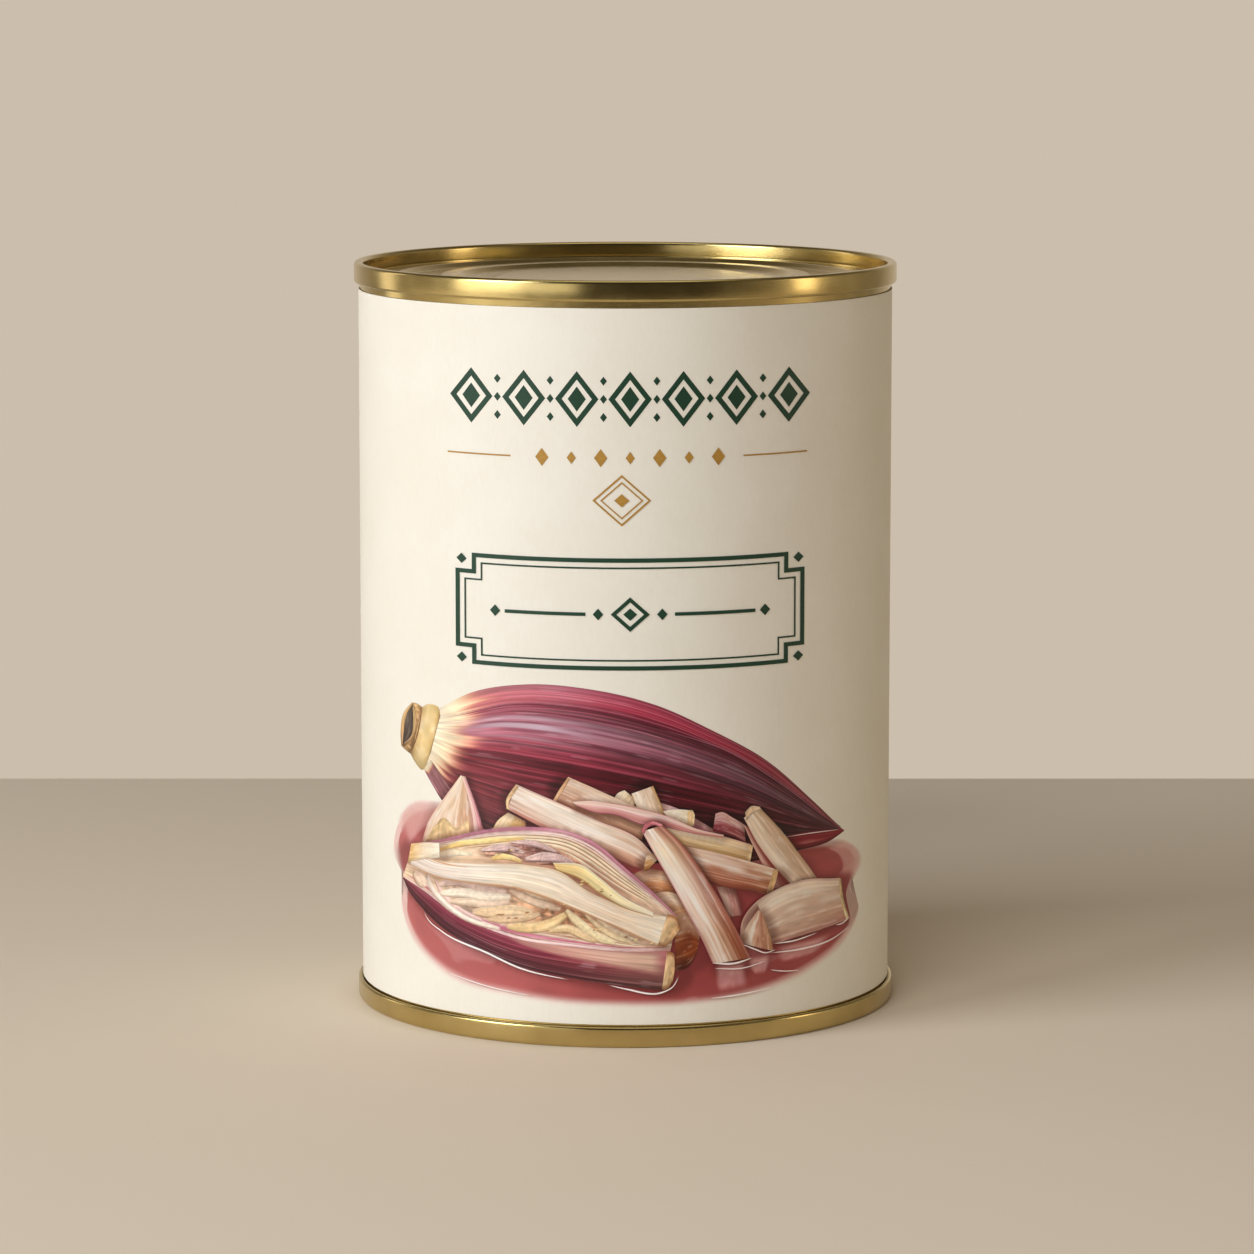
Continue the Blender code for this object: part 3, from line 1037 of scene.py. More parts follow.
class Printer:
    """Prints painted items on the label's face, each a thin film of ink above the last."""

    film = 0.0016
    step_along = 0.17
    step_across = 0.13
    straight_step = 0.5
    tint_of_shade = np.array([0.74, 0.92, 0.96])
    fall_of_shade = np.array([0.35, -0.45])

    def __init__(self, label: WrappedLabel, material: Material) -> None:
        """Remember the label and the ink's material."""
        self.label = label
        self.material = material
        self.canvas = Canvas()
        self.depth = 1

    def film_points(self, spots: np.ndarray, height: float) -> np.ndarray:
        """Wrap flat places in millimetres round the label, a height in millimetres above it."""
        radius = self.label.face() / MM
        angle = np.arcsin(np.clip(spots[:, 0] / radius, -0.999, 0.999))
        reach = self.label.cockled_radius(angle - math.pi / 2, spots[:, 1] * MM) / MM + height
        return np.stack([reach * np.sin(angle), -reach * np.cos(angle), spots[:, 1]], axis=1) * MM

    def patch(self, name: str, area: Patch, paint: Paint, above: list[Item], takes: float) -> Piece:
        """Print one patch.

        Args:
            name: The new piece's name.
            area: Where it lies.
            paint: Its colours.
            above: The items that lie on it and shade it.
            takes: How strongly it takes their shade.

        Returns:
            The film of ink.
        """
        longest = max(area.first.length, area.second.length)
        corners = max(len(line.points) - 1 for line in (area.first, area.second))
        columns = int(np.clip(longest / (self.step_along * paint.spacing), 6, 420))
        if not area.first.smooth:
            stretch = max(np.linalg.norm(np.diff(area.first.points, axis=0), axis=1))
            columns = corners * max(1, round(stretch / self.straight_step))
        rows = int(np.clip(area.width() / (self.step_across * paint.spacing), 3, 190))
        deselect_all()
        bpy.ops.mesh.primitive_grid_add(x_subdivisions=columns, y_subdivisions=rows, size=1.0)
        piece = take(bpy.context.object)
        piece.name = name
        flat = points_of(piece)
        along, across = flat[:, 0] + 0.5, 0.5 - flat[:, 1]
        spots = area.at(along, across)
        colour = paint.colours(along, across)
        dark = self.shadow(spots, above) * takes
        colour = colour * (1 - dark[:, None] * self.tint_of_shade)
        under = self.canvas.read(spots)
        cover = np.clip(paint.covers(along, across), 0, 1)
        through = under[:, 3] * (1 - cover)
        total = cover + through
        blend = through / np.maximum(total, 0.001)
        display = np.clip(mix(colour, under[:, :3], blend), 0, 1)
        self.canvas.write(spots, np.column_stack([display, total]))
        linear = np.where(display <= 0.04045, display / 12.92, ((display + 0.055) / 1.055) ** 2.4)
        ink = np.column_stack([linear, total]).astype(np.float32)
        layer = piece.data.attributes.new("ink", "FLOAT_COLOR", "POINT")
        layer.data.foreach_set("color", ink.ravel())
        move_points(piece, self.film_points(spots, self.depth * self.film))
        self.face_out(piece)
        return piece

    def shadow(self, spots: np.ndarray, above: list[Item], reach: float = 1.3) -> np.ndarray:
        """How far each place lies in the soft shade of the items above it, from 0 to 1."""
        dark = np.zeros(len(spots))
        for item in above:
            if not item.casts:
                continue
            for area, _ in item.parts:
                centres, radii = area.discs()
                near = np.full(len(spots), 99.0)
                for centre, radius in zip(centres + self.fall_of_shade, radii):
                    near = np.minimum(near, np.hypot(*(spots - centre).T) - radius)
                dark = np.maximum(dark, (1 - smooth_step(-0.4, reach, near)) * item.casts)
        return dark

    @staticmethod
    def face_out(piece: Piece) -> None:
        """Turn the film over if it faces the can."""
        middle = piece.data.polygons[len(piece.data.polygons) // 2]
        if middle.normal.x * middle.center.x + middle.normal.y * middle.center.y < 0:
            take(piece)
            bpy.ops.object.mode_set(mode="EDIT")
            bpy.ops.mesh.select_all(action="SELECT")
            bpy.ops.mesh.flip_normals()
            bpy.ops.object.mode_set(mode="OBJECT")

    def print_items(self, items: list[Item]) -> None:
        """Print items from the lowest to the topmost, each piece its patches joined."""
        for number, item in enumerate(items):
            pieces = []
            for area, paint in item.parts:
                pieces.append(self.patch(item.name, area, paint, items[number + 1:], item.takes))
                self.depth += 1
            deselect_all()
            for piece in pieces:
                piece.select_set(True)
            bpy.context.view_layer.objects.active = pieces[0]
            if len(pieces) > 1:
                bpy.ops.object.join()
            pieces[0].name = "print_" + item.name
            take(pieces[0])
            bpy.ops.object.shade_smooth()
            fit_out(pieces[0], self.material)


# ---- The picture on the label ----

CREAM = 0xF0DABC
PALE = 0xF4E4CC
BLUSH = 0xE2AEA4
MAUVE = 0xBA7494
TAN = 0xE2BE8A
HONEY = 0xEEC880
BARK = 0x683E28


@dataclass(frozen=True)
class Strip:
    """One cut strip of blossom: its edges, its colours from end to end and at its edges, and its cut end.

    The first edge is the upper or left one. Casts is how strongly it shades what lies under it, takes how
    strongly it takes the shade of what lies on it.
    """

    name: str
    first: Spots
    second: Spots
    stops: tuple[Print, ...]
    rims: tuple[Print, Print]
    seed: int
    shine: float = 0.22
    cut: tuple[Spots, Spots] | None = None
    cut_colour: Print = TAN
    casts: float = 0.5
    takes: float = 1.0

    def item(self) -> Item:
        """The strip, its cut end if that shows, and the dark line under its second edge."""
        second = Line(*self.second)
        flesh = Paint(
            along=self.stops, across=(0xFCECD6, 0xFCE8CE, self.stops[1], self.stops[-2], self.rims[1]),
            across_share=0.5, rims=self.rims, rim_reach=(0.06, 0.14), fibres=0.05, fibre_count=13,
            fibre_length=1.2, fibre_tint=0xFEF4E4, fibre_tint_share=0.45, mottle=0.05,
            round_shade=0.04, round_middle=0.35, shine=1.6 * self.shine, shine_place=0.32, shine_width=0.2,
            shine_tint=0xFFFBF2, wet=0.25, flat=True, ends=(0.03, 0.03), seed=self.seed,
        )
        parts = [(Patch(Line(*self.first), second), flesh)]
        if self.cut:
            parts.append((Patch(Line(*self.cut[0]), Line(*self.cut[1])), Paint(
                along=(self.cut_colour, toned(self.cut_colour, lift=26)), fibres=0.1, fibre_count=5,
                mottle=0.12, round_shade=0.2, fibre_tint_share=0.3, seed=self.seed + 50,
            )))
        parts.append((stroke(second, 0.05, 0.13, 0.13, 0.05), line_ink(toned(self.rims[1], 0.62), 0.55)))
        return Item(self.name, parts, casts=self.casts, takes=self.takes)


# The strips that lie behind the cut half and the long strip.
BACK_STRIPS = (
    Strip(
        "wedge_leaf", ((-23.9, 38.6), (-26.2, 35.2), (-28.8, 31), (-30, 26.8)),
        ((-23.2, 38.5), (-22.4, 36.4), (-21.4, 33.2), (-20.3, 29.5)),
        (0xD8B08E, 0xD4AE8C, 0xD6A684, 0xDAA87E), (0xE4AC9C, 0xD28C94), 31, shine=0.3,
        cut=(((-28.2, 30), (-26.4, 32), (-24.6, 30.8), (-22.8, 32.2)),
             ((-29.4, 27.6), (-27, 27.8), (-24.6, 28.2), (-22.4, 28.4))), cut_colour=0xDEBA84,
    ),
    Strip(
        "wedge_side", ((-23.7, 38.3), (-22.9, 36), (-22.2, 33), (-21.8, 29.6)),
        ((-23.2, 38.4), (-22.3, 36.2), (-21.2, 33.1), (-20.2, 29.4)), (0xE2ACA0, 0xD69292, 0xCA7C86),
        (BLUSH, 0xB06070), 32, casts=0.0,
    ),
    Strip(
        "yellow_chunk", ((-19.6, 30.2), (-18.4, 32.6), (-16.9, 33.9)),
        ((-14.6, 30.2), (-14.2, 31.4), (-14.4, 32.8)), (HONEY, 0xE2B270, TAN), (0xF0D6A0, 0xAA6E3C), 33,
    ),
    Strip(
        "flat_strip", ((5, 36), (7.8, 34.9), (10.2, 33.4), (13.2, 31.4)),
        ((4.6, 34.4), (7.6, 33.2), (9.8, 32), (12.4, 30.4)), (0xCE8E96, 0xC4808C, 0xA8606E),
        (MAUVE, 0xAA5C68), 35,
    ),
    Strip(
        "small_cube", ((-1.7, 36.5), (-1, 37.4), (-0.1, 37.8)), ((0.6, 34.8), (1.2, 35.6), (1.6, 36.4)),
        (CREAM, 0xECCE9C), (PALE, TAN), 37,
    ),
    Strip(
        "upright_strip", ((0.9, 37.3), (1.7, 35.2), (2.6, 32.6)), ((4, 38.4), (4.9, 36.2), (6.2, 33.2)),
        (0xE6CAB2, 0xE0C0A2, 0xD2AA84), (0xE2BE8C, 0xC49254), 39,
    ),
    Strip(
        "second_strip", ((-8.2, 39.6), (-4.6, 38.1), (-0.8, 36.4), (3.4, 34.6)),
        ((-10.3, 36), (-6.2, 34.2), (-2, 32.4), (2.4, 30.6)), (0xBE8A6E, 0xC4967A, 0xD0A484, 0xD4A886),
        (0xDEB698, 0xA4624A), 41,
        cut=(((-8.3, 39.5), (-9.4, 37.8), (-10.4, 36.1)), ((-7.9, 39.3), (-8.9, 37.6), (-9.9, 35.9))),
        cut_colour=0xCE9C70,
    ),
    Strip(
        "stub_end", ((5.4, 34.7), (7.4, 34.9), (9.2, 34.7)), ((6.2, 33.6), (7.8, 32.9), (9.2, 32.2)),
        (CREAM, PALE, 0xF0DCB4), (0xFAF0DC, 0xCE966E), 43,
        cut=(((9, 34.7), (9.6, 34.7), (10, 34)), ((8.9, 32.2), (9.4, 32.2), (9.9, 32.4))),
    ),
    Strip(
        "pink_box", ((13, 34), (13.8, 34.2), (15.4, 33.3), (17.2, 32.1)),
        ((12.6, 31.4), (14, 31), (15.6, 30.4), (17.4, 29.2)), (0x8A3040, 0x9C484C, 0x944446, 0x88363A),
        (0xCA7E76, 0x681C26), 45,
    ),
    Strip(
        "olive_strip", ((4.2, 33.2), (8.8, 32.2), (13.6, 30.8), (18.2, 29.1)),
        ((5.2, 30.6), (8.6, 29.4), (13, 27.9), (17.7, 26.4)), (0xC48A4E, 0xEACC9E, 0xE0B87A, 0xCA925C),
        (0xD8968E, 0xB06E3C), 47, takes=0.5, cut=(((17.9, 29.1), (18.5, 28.9)), ((17.4, 26.4), (18, 26.3))),
    ),
)

# The chunks in the gaps and the strips on the right.
MIDDLE_STRIPS = (
    Strip(
        "gap_chunk", ((0.8, 25.4), (3, 26.3), (6, 25.8)), ((3.6, 22.6), (5, 22.4), (7.4, 22)),
        (0xDA9270, 0xDC9866, 0xBA6832), (0xD69278, 0x8A422A), 51,
    ),
    Strip(
        "pale_chunk", ((4.2, 22.7), (6.2, 22.9), (8.6, 21.9)), ((7, 19.2), (8.2, 18.8), (9.8, 18)),
        (0xE0AC88, 0xE6B688, 0xC88246), (0xE8C4A0, 0xA05C30), 53,
    ),
    Strip(
        "brown_block", ((7, 19.9), (9.2, 20.2), (10.9, 17.2)), ((7.4, 11.2), (8.8, 11.6), (10.4, 13.8)),
        (0xAE6030, 0x8A3C18, 0x944620), (0xC88A52, 0x682C18), 55, shine=0.1, takes=0.5,
    ),
    Strip(
        "pink_stub", ((13.2, 23.3), (14, 21.2), (14.9, 18.7)), ((15.9, 22.9), (16.4, 21), (16.9, 18.8)),
        (0xCE9688, 0xC4887E, 0xBA7A74), (BLUSH, 0x96544E), 57,
    ),
    Strip(
        "right_strip_side", ((17, 32.2), (18.4, 29), (20, 25.6), (21.4, 22.2)),
        ((17.8, 31.6), (20, 28), (22.4, 24.8), (24.8, 22.4)), (0xD68676, 0xD07868, 0xBE4E4A, 0xBE544C),
        (0xD48A7E, 0x8C2E32), 59,
    ),
    Strip(
        "right_strip", ((17.1, 33.1), (19.1, 29.2), (21.7, 25.4), (24.2, 22.4)),
        ((19.4, 34.4), (22.6, 30.6), (25.3, 26.8), (28.2, 22.4)), (0xE2C0A0, 0xE2C2A4, 0xD4B092, 0xCEA68A),
        (0xE2B29C, 0xCEA27A), 61,
        cut=(((17.3, 33.9), (18.2, 34.7), (19.5, 34.5)), ((17.5, 32.6), (18.3, 33.5), (19.3, 34))),
        cut_colour=0xE2C09C,
    ),
    Strip(
        "level_strip", ((6.6, 30), (9.4, 29.3), (14, 28), (18.2, 26.5), (21.7, 25.1)),
        ((9, 25.6), (12, 24), (15.4, 22.9), (18.4, 22.2), (20.6, 21.4)),
        (0xBA705E, 0xC6886C, 0xB87056, 0xA85C40, 0xAE683E), (0xE4C0A4, 0x944C3A), 63, shine=0.5,
        cut=(((21.5, 25.1), (22, 25), (21.9, 23.4)), ((20.4, 21.4), (20.9, 21.4), (21.3, 21.6))),
        cut_colour=0xDEB27C,
    ),
    Strip(
        "long_strip", ((-15.6, 38.1), (-9.9, 35.9), (-3.6, 33.2), (2, 30.6), (4, 28.4)),
        ((-17, 34.4), (-12, 32.1), (-5.6, 29.4), (-1, 27.5), (2.8, 26.1)),
        (0xD2B09E, 0xE6D0BE, 0xEED4C0, 0xD6A68A, 0xC48062), (0xE8B4A6, 0xD08674), 65, shine=0.5,
        cut=(((-15.7, 38.1), (-16.5, 37), (-17.2, 35.6), (-17.1, 34.4)),
             ((-15.3, 37.8), (-16, 36.7), (-16.7, 35.4), (-16.7, 34.4))), cut_colour=0xDEB282,
    ),
    Strip(
        "long_strip_end", ((3, 28.2), (3.9, 28.5), (4.6, 27.6)), ((2.6, 26), (3.2, 26.1), (3.8, 26.8)),
        (0xB07442, 0xD6A468), (0xE8BE8C, 0x8C5432), 67,
    ),
    Strip(
        "pink_ribbon",
        ((-7.6, 36), (-5.1, 36.2), (-1.6, 35.8), (2.4, 35), (6.4, 33.8), (10.4, 31.9), (14.2, 30.8)),
        ((-7, 35.5), (-4.6, 34.6), (-1.2, 34.2), (2.2, 32.9), (6, 32.3), (10.2, 31.2), (14, 30.4)),
        (0xE4B09E, 0xD8928E, 0xDA9A96, 0xCE8084, 0xD49082, 0xC87C72), (0xD48488, 0xC06270), 69, shine=0.3,
    ),
)

# The curled leaf and the wedge in the juice, and the strip that leans over everything.
FRONT_STRIPS = (
    Strip(
        "curled_leaf_inside", ((16.4, 15), (16.9, 18.2), (19, 20.7), (22, 22.2)),
        ((18.4, 14.2), (18.9, 16.8), (19.4, 19), (20.6, 20.4)), (0xC67A72, 0xD0887C, 0xD89A8A, 0xDEAE98),
        (BLUSH, 0xCE807C), 71,
    ),
    Strip(
        "curled_leaf", ((19, 20.4), (21.4, 21.9), (25.6, 22.9), (31.3, 22.1)),
        ((21.3, 14), (24, 14.5), (27.8, 15), (32.5, 15.6)), (0xD2AC96, 0xDCBCA4, 0xD4AA92, 0xC68C76),
        (0xE0B8A8, 0xCC9082), 73, shine=0.4,
        cut=(((31.1, 22.1), (31.4, 19), (32.3, 15.6)), ((31.5, 22), (31.9, 19), (32.8, 15.7))),
        cut_colour=0xDEBE8C,
    ),
    Strip(
        "small_wedge", ((16.4, 14.8), (17.4, 17), (19.2, 19.4)), ((21.4, 13), (20.9, 15.4), (19.7, 18.8)),
        (0xB6785C, 0xC4886A, 0xB26A50), (0xDEBA9E, 0xBE865C), 75, shine=0.45, casts=0.4,
    ),
    Strip(
        "leaning_strip", ((2.4, 31.8), (4.2, 28.4), (6.5, 24.3), (8.8, 19.9), (10.9, 15.9), (12.6, 12)),
        ((5.3, 32.7), (7.8, 30.2), (10.2, 26.9), (12.7, 22.8), (14.9, 18.8), (16.7, 15.2), (18, 12.4)),
        (0xDE9E92, 0xECCEAA, 0xEED8CA, 0xE6C4BE, 0xD4A292, 0x9E5638, 0x964A2E), (0xCE8A88, 0xB66854), 77,
        shine=0.5, casts=0.6,
        cut=(((2.3, 31.9), (2.9, 33), (3.9, 33.3), (5.3, 32.8)),
             ((2.7, 31.4), (3.2, 32.3), (4.1, 32.7), (5.1, 32.4))), cut_colour=0xC46870,
    ),
)


@dataclass(frozen=True)
class BlossomPicture:
    """A plain study of banana blossom: one whole, one cut half and cut strips in their juice."""

    def whole_blossom(self) -> list[Item]:
        """The whole blossom: stalk stump, collar and bracts."""
        crown = Line((-27, 48.1), (-22.4, 50.9), (-14.2, 52.8), (-5.6, 52.5), (4.8, 50), (12.3, 46.3),
                     (19.8, 41.7), (27.5, 34.2), (32.1, 29))
        seam = Line((-27, 46.6), (-23.8, 47.5), (-16.3, 49.7), (-7.8, 49.7), (0, 48.4), (12.3, 44),
                    (18.5, 40.6), (24.9, 35.5), (31.4, 29.4))
        belly = Line((-29.3, 38.8), (-26.5, 34.4), (-20.6, 31.2), (-12, 29), (-2, 27.6), (8, 26.9),
                     (18, 26.8), (25, 27.5), (31.4, 29))
        keel = Line((17, 29.8), (23.2, 29.9), (28, 29.8), (32, 29.2))
        sole = Line((17, 26.4), (25, 27.3), (30, 27.9), (32.2, 28.9))
        main = BractPaint(
            along=(0xD28E80, 0x9C4C50, 0x782A32, 0x68262C, 0x5C262C, 0x54282E),
            across=(0x721E30, 0xA4687C, 0x823042, 0x540616, 0x4E0A16, 0x5C1A22, 0x5A2026, 0x4C1E24),
            across_share=0.7, fibres=0.28, fibre_count=62, fibre_length=2.4, fibre_tint=0xBE7480,
            fibre_tint_share=0.3, mottle=0.12, round_shade=0.12, round_middle=0.3, shine=0.8,
            shine_place=0.16, shine_width=0.11, shine_tint=0xCEB2BE,
            shine_along=(0.1, 0.9, 1.2, 0.7, 0.35, 0.2, 0.2, 0.2, 0.15), wet=0.16,
            light=(1.08, 1.08, 0.98, 0.84, 0.75, 0.7, 0.72), root_reach=0.11, root_middle=0.28,
            tip=0x48181E, tip_share=0.5, seed=7,
        )
        hood = BractPaint(
            along=(0xE2A48E, 0xC47676, 0xBC6A76, 0x9E3648, 0x861E30, 0x7E222C, 0x7E3234, 0x743436),
            across=(0xAA607A, 0xC45C78, 0xB23250, 0x9C223A, 0x701C2E),
            across_share=0.25, fibres=0.18, fibre_count=22, fibre_length=2.0, fibre_tint=0xE2B0B6,
            fibre_tint_share=0.34, round_shade=0.1, round_middle=0.45, wet=0.1, root_reach=0.12,
            light=(1.04, 1.02, 1.0, 0.96, 0.94, 0.94, 0.94), root_middle=0.5, tip=0x6E2830,
            tip_share=0.5, seed=11,
        )
        side = BractPaint(
            along=(0xB07A80, 0x925A62, 0x76444A), across=(0x8A545C, 0xB07670),
            fibres=0.16, fibre_count=10, root_reach=0.12, tip_share=0.2, seed=13,
        )
        under = Paint(along=(0x60181E, 0x781A22, 0x8A2228), fibres=0.08, round_shade=0.25)
        collar = Paint(
            along=(0xD6AC6E, 0xEED094, 0xE2BE7C, 0xC2985A), fibres=0.05,
            fibre_count=7, round_shade=0.16, shine=0.3, shine_place=0.35, ends=(0.12, 0.22), seed=5,
        )
        stump = Paint(
            along=(0xBA8E5A, 0xD6AC70, 0xBE925C, 0x8C623C), fibres=0.16,
            fibre_count=9, round_shade=0.16, seed=17,
        )
        face = Paint(along=(0x54443A, 0x68584C, 0x4E3E36, 0x3A2E28), fibres=0.14,
                     fibre_count=8, round_shade=0.3, seed=19)
        flank = Patch(Line((-29.5, 38.7), (-28.2, 36.6), (-26.4, 34.2), (-24.5, 33)),
                      Line((-28.3, 40.2), (-26.6, 38), (-24.8, 35.8), (-22.8, 33.6)))
        rim = Line((-31.2, 48.2), (-32.4, 46.6), (-33, 43.4), (-32.9, 41.4))
        return [
            Item("blossom_bracts", [
                (Patch(crown, seam.beside((-0.3, -0.3))), hood), (Patch(seam, belly), main),
                (flank, side), (Patch(keel, sole), under),
                (stroke(seam, 0.10, 0.16, 0.2, 0.2, 0.16, 0.1), line_ink(0x56162C, 0.75)),
                (stroke(seam.beside((0.25, 0.3)), 0.12, 0.2, 0.22, 0.12), line_ink(0xCE8CA0, 0.4)),
                (stroke(Line((4.8, 46.8), (15, 42.9), (22, 38), (30.5, 30.4)), 0.1, 0.25, 0.12),
                 line_ink(0xB07682, 0.6)),
                (stroke(Line((23, 29.6), (27.2, 29.6), (31.6, 29.3)), 0.05, 0.2, 0.05),
                 line_ink(0xFFF4F0, 0.9)),
            ], casts=0.55),
            Item("blossom_stalk", [
                (Patch(Line((-29.7, 47.7), (-28.8, 48.4), (-27.2, 48.2), (-26.9, 47)),
                       Line((-31.5, 40.6), (-30.9, 39.6), (-29.8, 38.5), (-28.4, 41.2))), collar),
                (Patch(Line((-31.2, 48.2), (-30.5, 48.2), (-29.6, 47.8)),
                       Line((-32.9, 41.4), (-32.2, 40.9), (-31.4, 40.5))), stump),
                (Patch(rim, Line((-30.8, 47.8), (-30.5, 46), (-31.2, 42.8), (-32.4, 41.4))), stump),
                (Patch(rim.beside((0.25, 0.5, 0.5, 0.25)),
                       Line((-31.1, 47.4), (-31, 46), (-31.6, 42.9), (-32.4, 42))), face),
                (stroke(Line((-29.7, 47.6), (-30, 45.4), (-30.7, 42.6), (-31.5, 40.7)), 0.12, 0.26, 0.14),
                 line_ink(BARK, 0.85)),
                (stroke(Line((-31.1, 48), (-30.7, 46.4), (-31.3, 43.2), (-32.6, 41.6)), 0.1, 0.2, 0.1),
                 line_ink(0xDEB482, 0.9)),
            ], casts=0.12),
        ]

    def pool(self) -> Item:
        """The pool of pink juice, fading into the paper, with its thicker clear rim on the right."""
        top = Line((-34.4, 25), (-33.6, 29.6), (-31.2, 33.2), (-27.4, 34.6), (-18, 34), (0, 32),
                   (18, 30), (28, 28.6), (32.4, 27.6), (34.4, 25.6), (35.2, 23.2))
        bottom = Line((-34.4, 25), (-32.6, 21.4), (-33, 17.6), (-31.4, 12.6), (-27, 8.6), (-15.3, 6.3),
                      (0, 5.6), (12, 5.8), (20, 6.7), (27.5, 8.9), (32.6, 12.2), (34.6, 16.4),
                      (33.2, 20.4), (35.2, 23.2))
        rim = PlainInk(
            along=(0xE4BAB2, 0xDCA6A0, 0xD69E9A, 0xDAA8A0, 0xDEB8AE),
            mottle=0.02, fade_side=0.06, fade_end=0.03, cover=0.85, spacing=1.6, seed=21,
        )
        juice = PlainInk(
            along=(0xCE8C86, 0xC4706C, 0xB25856, 0x983A3A, 0x923434, 0xA24240, 0xBC6E66),
            across=(0xA44644, 0x923A3C, 0x9A3E40, 0xAA5250), across_share=0.5,
            mottle=0.04, fibre_count=9, wet=0.14, fade_side=0.06, fade_end=0.04, cover=0.97,
            spacing=1.6, seed=23,
        )
        lobe = PlainInk(along=(0xD8A49C, 0xDEB4AA), rims=(0xF0D6D0, 0xCE8C90),
                        mottle=0.02, rim_reach=(0.15, 0.2), cover=0.7, fade_end=0.2, fade_side=0.1)
        return Item("juice_pool", [
            (Patch(top, bottom), rim),
            (Patch(top.beside((-0.7, -1.2, -1.0, -0.8)), bottom.beside((0.5, 0.8, 0.4, 0.3, 0.8, 1.0))),
             juice),
            (Patch(Line((30.4, 28), (33.6, 26.4), (35, 23.6), (33.6, 21.2)),
                   Line((29, 27.2), (31.4, 25.2), (31.8, 23.4), (31, 22.4))), lobe),
            (Patch(Line((-33.8, 30.6), (-31, 33.8), (-26.4, 34.4)),
                   Line((-32, 26.4), (-29.6, 29.6), (-27.4, 31.6))), lobe),
        ], takes=0.45)

    def ripples(self) -> Item:
        """White lights along the edges of the juice and of what stands in it."""
        white = 0xFFF6F2
        lines = (
            (Line((-29.4, 18.2), (-28.9, 16.7), (-26.8, 15.2), (-19.9, 12.9), (-15.3, 11.2), (-7.6, 9.8)),
             0.3),
            (Line((-26, 9.2), (-20, 8), (-13.5, 7.2)), 0.16),
            (Line((-2.5, 9.3), (0.1, 8.7), (5.2, 8.1), (6.7, 8.8), (7.8, 10.6)), 0.26),
            (Line((12.5, 12.1), (15.6, 11.8), (18.4, 12.4)), 0.3),
            (Line((12.7, 11.3), (16.9, 11), (20.3, 11.7)), 0.16),
            (Line((16.9, 14.5), (18.7, 13.6), (20.3, 12.9), (21.8, 13.2)), 0.2),
            (Line((21.4, 14.1), (24.3, 14.1), (28, 14.7)), 0.22),
            (Line((20.9, 12.8), (25.6, 12.7), (30.3, 13.3), (33.2, 14.7)), 0.24),
            (Line((20.9, 10.3), (23, 9.8), (25.4, 9.6)), 0.16),
            (Line((12, 6.9), (16.1, 7.1), (21.5, 7.7)), 0.22),
            (Line((30.7, 15.2), (31.6, 15.2), (32.8, 15.8)), 0.2),
        )
        parts = [
            (stroke(line, 0.08, 1.35 * width, 1.2 * width, 0.08), line_ink(white, 1.0))
            for line, width in lines
        ]
        return Item("juice_lights", parts)

    def reflections(self) -> Item:
        """Pale images of the strips in the juice below them."""
        pale = Paint(along=(0xE8BEB6, 0xD89496), fibres=0.06, fibre_count=5, cover=0.75,
                     fade_side=0.2, fade_end=0.3, round_shade=0.05)
        return Item("juice_reflections", [
            (Patch(Line((12.8, 12.4), (12.9, 9.5), (13.2, 7.2)),
                   Line((17.6, 12.4), (17.8, 9.8), (18.2, 7.8))), pale),
            (Patch(Line((17.6, 12.6), (18, 11), (18.8, 9.6)), Line((21.2, 12.8), (21, 11), (20.4, 9.6))),
             pale),
            (Patch(Line((21.5, 13.8), (21.8, 12.2), (22.6, 10.8)),
                   Line((31, 14.4), (29.6, 12.6), (27.5, 11.4))), pale),
        ], takes=0.15)

    def cut_half(self) -> list[Item]:
        """The blossom cut lengthwise: skin, nested bracts, florets and the pale core."""
        rim = Line((-31, 27.2), (-26.6, 28.6), (-19.8, 30.9), (-12.9, 31.8), (-8.4, 31.5), (-5, 30.2),
                   (0.1, 26.1), (4.2, 22.4), (7.5, 19))
        keel = Line((-32.7, 21.9), (-29.7, 20.7), (-26.1, 18.7), (-21, 16.8), (-15.3, 15.4), (-8.4, 14.8),
                    (0, 14.2), (6.5, 14.2))
        sole = Line((-32.7, 21.7), (-31.7, 19.9), (-29.7, 17.9), (-26.8, 15.7), (-22.2, 13.6), (-15.3, 11.4),
                    (-8.4, 10.2), (0, 9.1), (5.4, 8.4))
        core_top = Line((-31.2, 26.6), (-28, 25.6), (-22.6, 25.9), (-14.1, 26.4), (-9.6, 25.8), (-5.1, 22.9),
                        (-0.5, 20.9), (7.5, 18.9))
        core_low = Line((-31.4, 24), (-28, 23.2), (-21, 23), (-16.4, 23), (-13, 22.3), (-7.3, 20.4),
                        (-1.5, 18), (5, 15))
        skin = Paint(
            along=(0x94585C, 0x7A3A44, 0x6E2A38, 0x722432, 0x822E38, 0xA85452, 0xCA8C7C, 0xD6A088),
            across=(0xCE6A82, 0x9A304C, 0x66182A, 0x501824, 0x4E1620), across_share=0.55,
            fibres=0.14, fibre_count=20, fibre_length=1.6, fibre_tint=0xDEB0AA, fibre_tint_share=0.4,
            round_shade=0.2, round_middle=0.3, wet=0.2, seed=81,
        )
        bare = Paint(
            along=(0xD28486, 0xDE9E90, 0xEAC0A6, 0xEECEB0), across=(PALE, 0xCE907C),
            across_share=0.4, fibres=0.12, fibre_count=12, fibre_length=2, cover=0.9, fade_side=0.3,
            fade_end=0.12, round_shade=0.05, seed=82,
        )
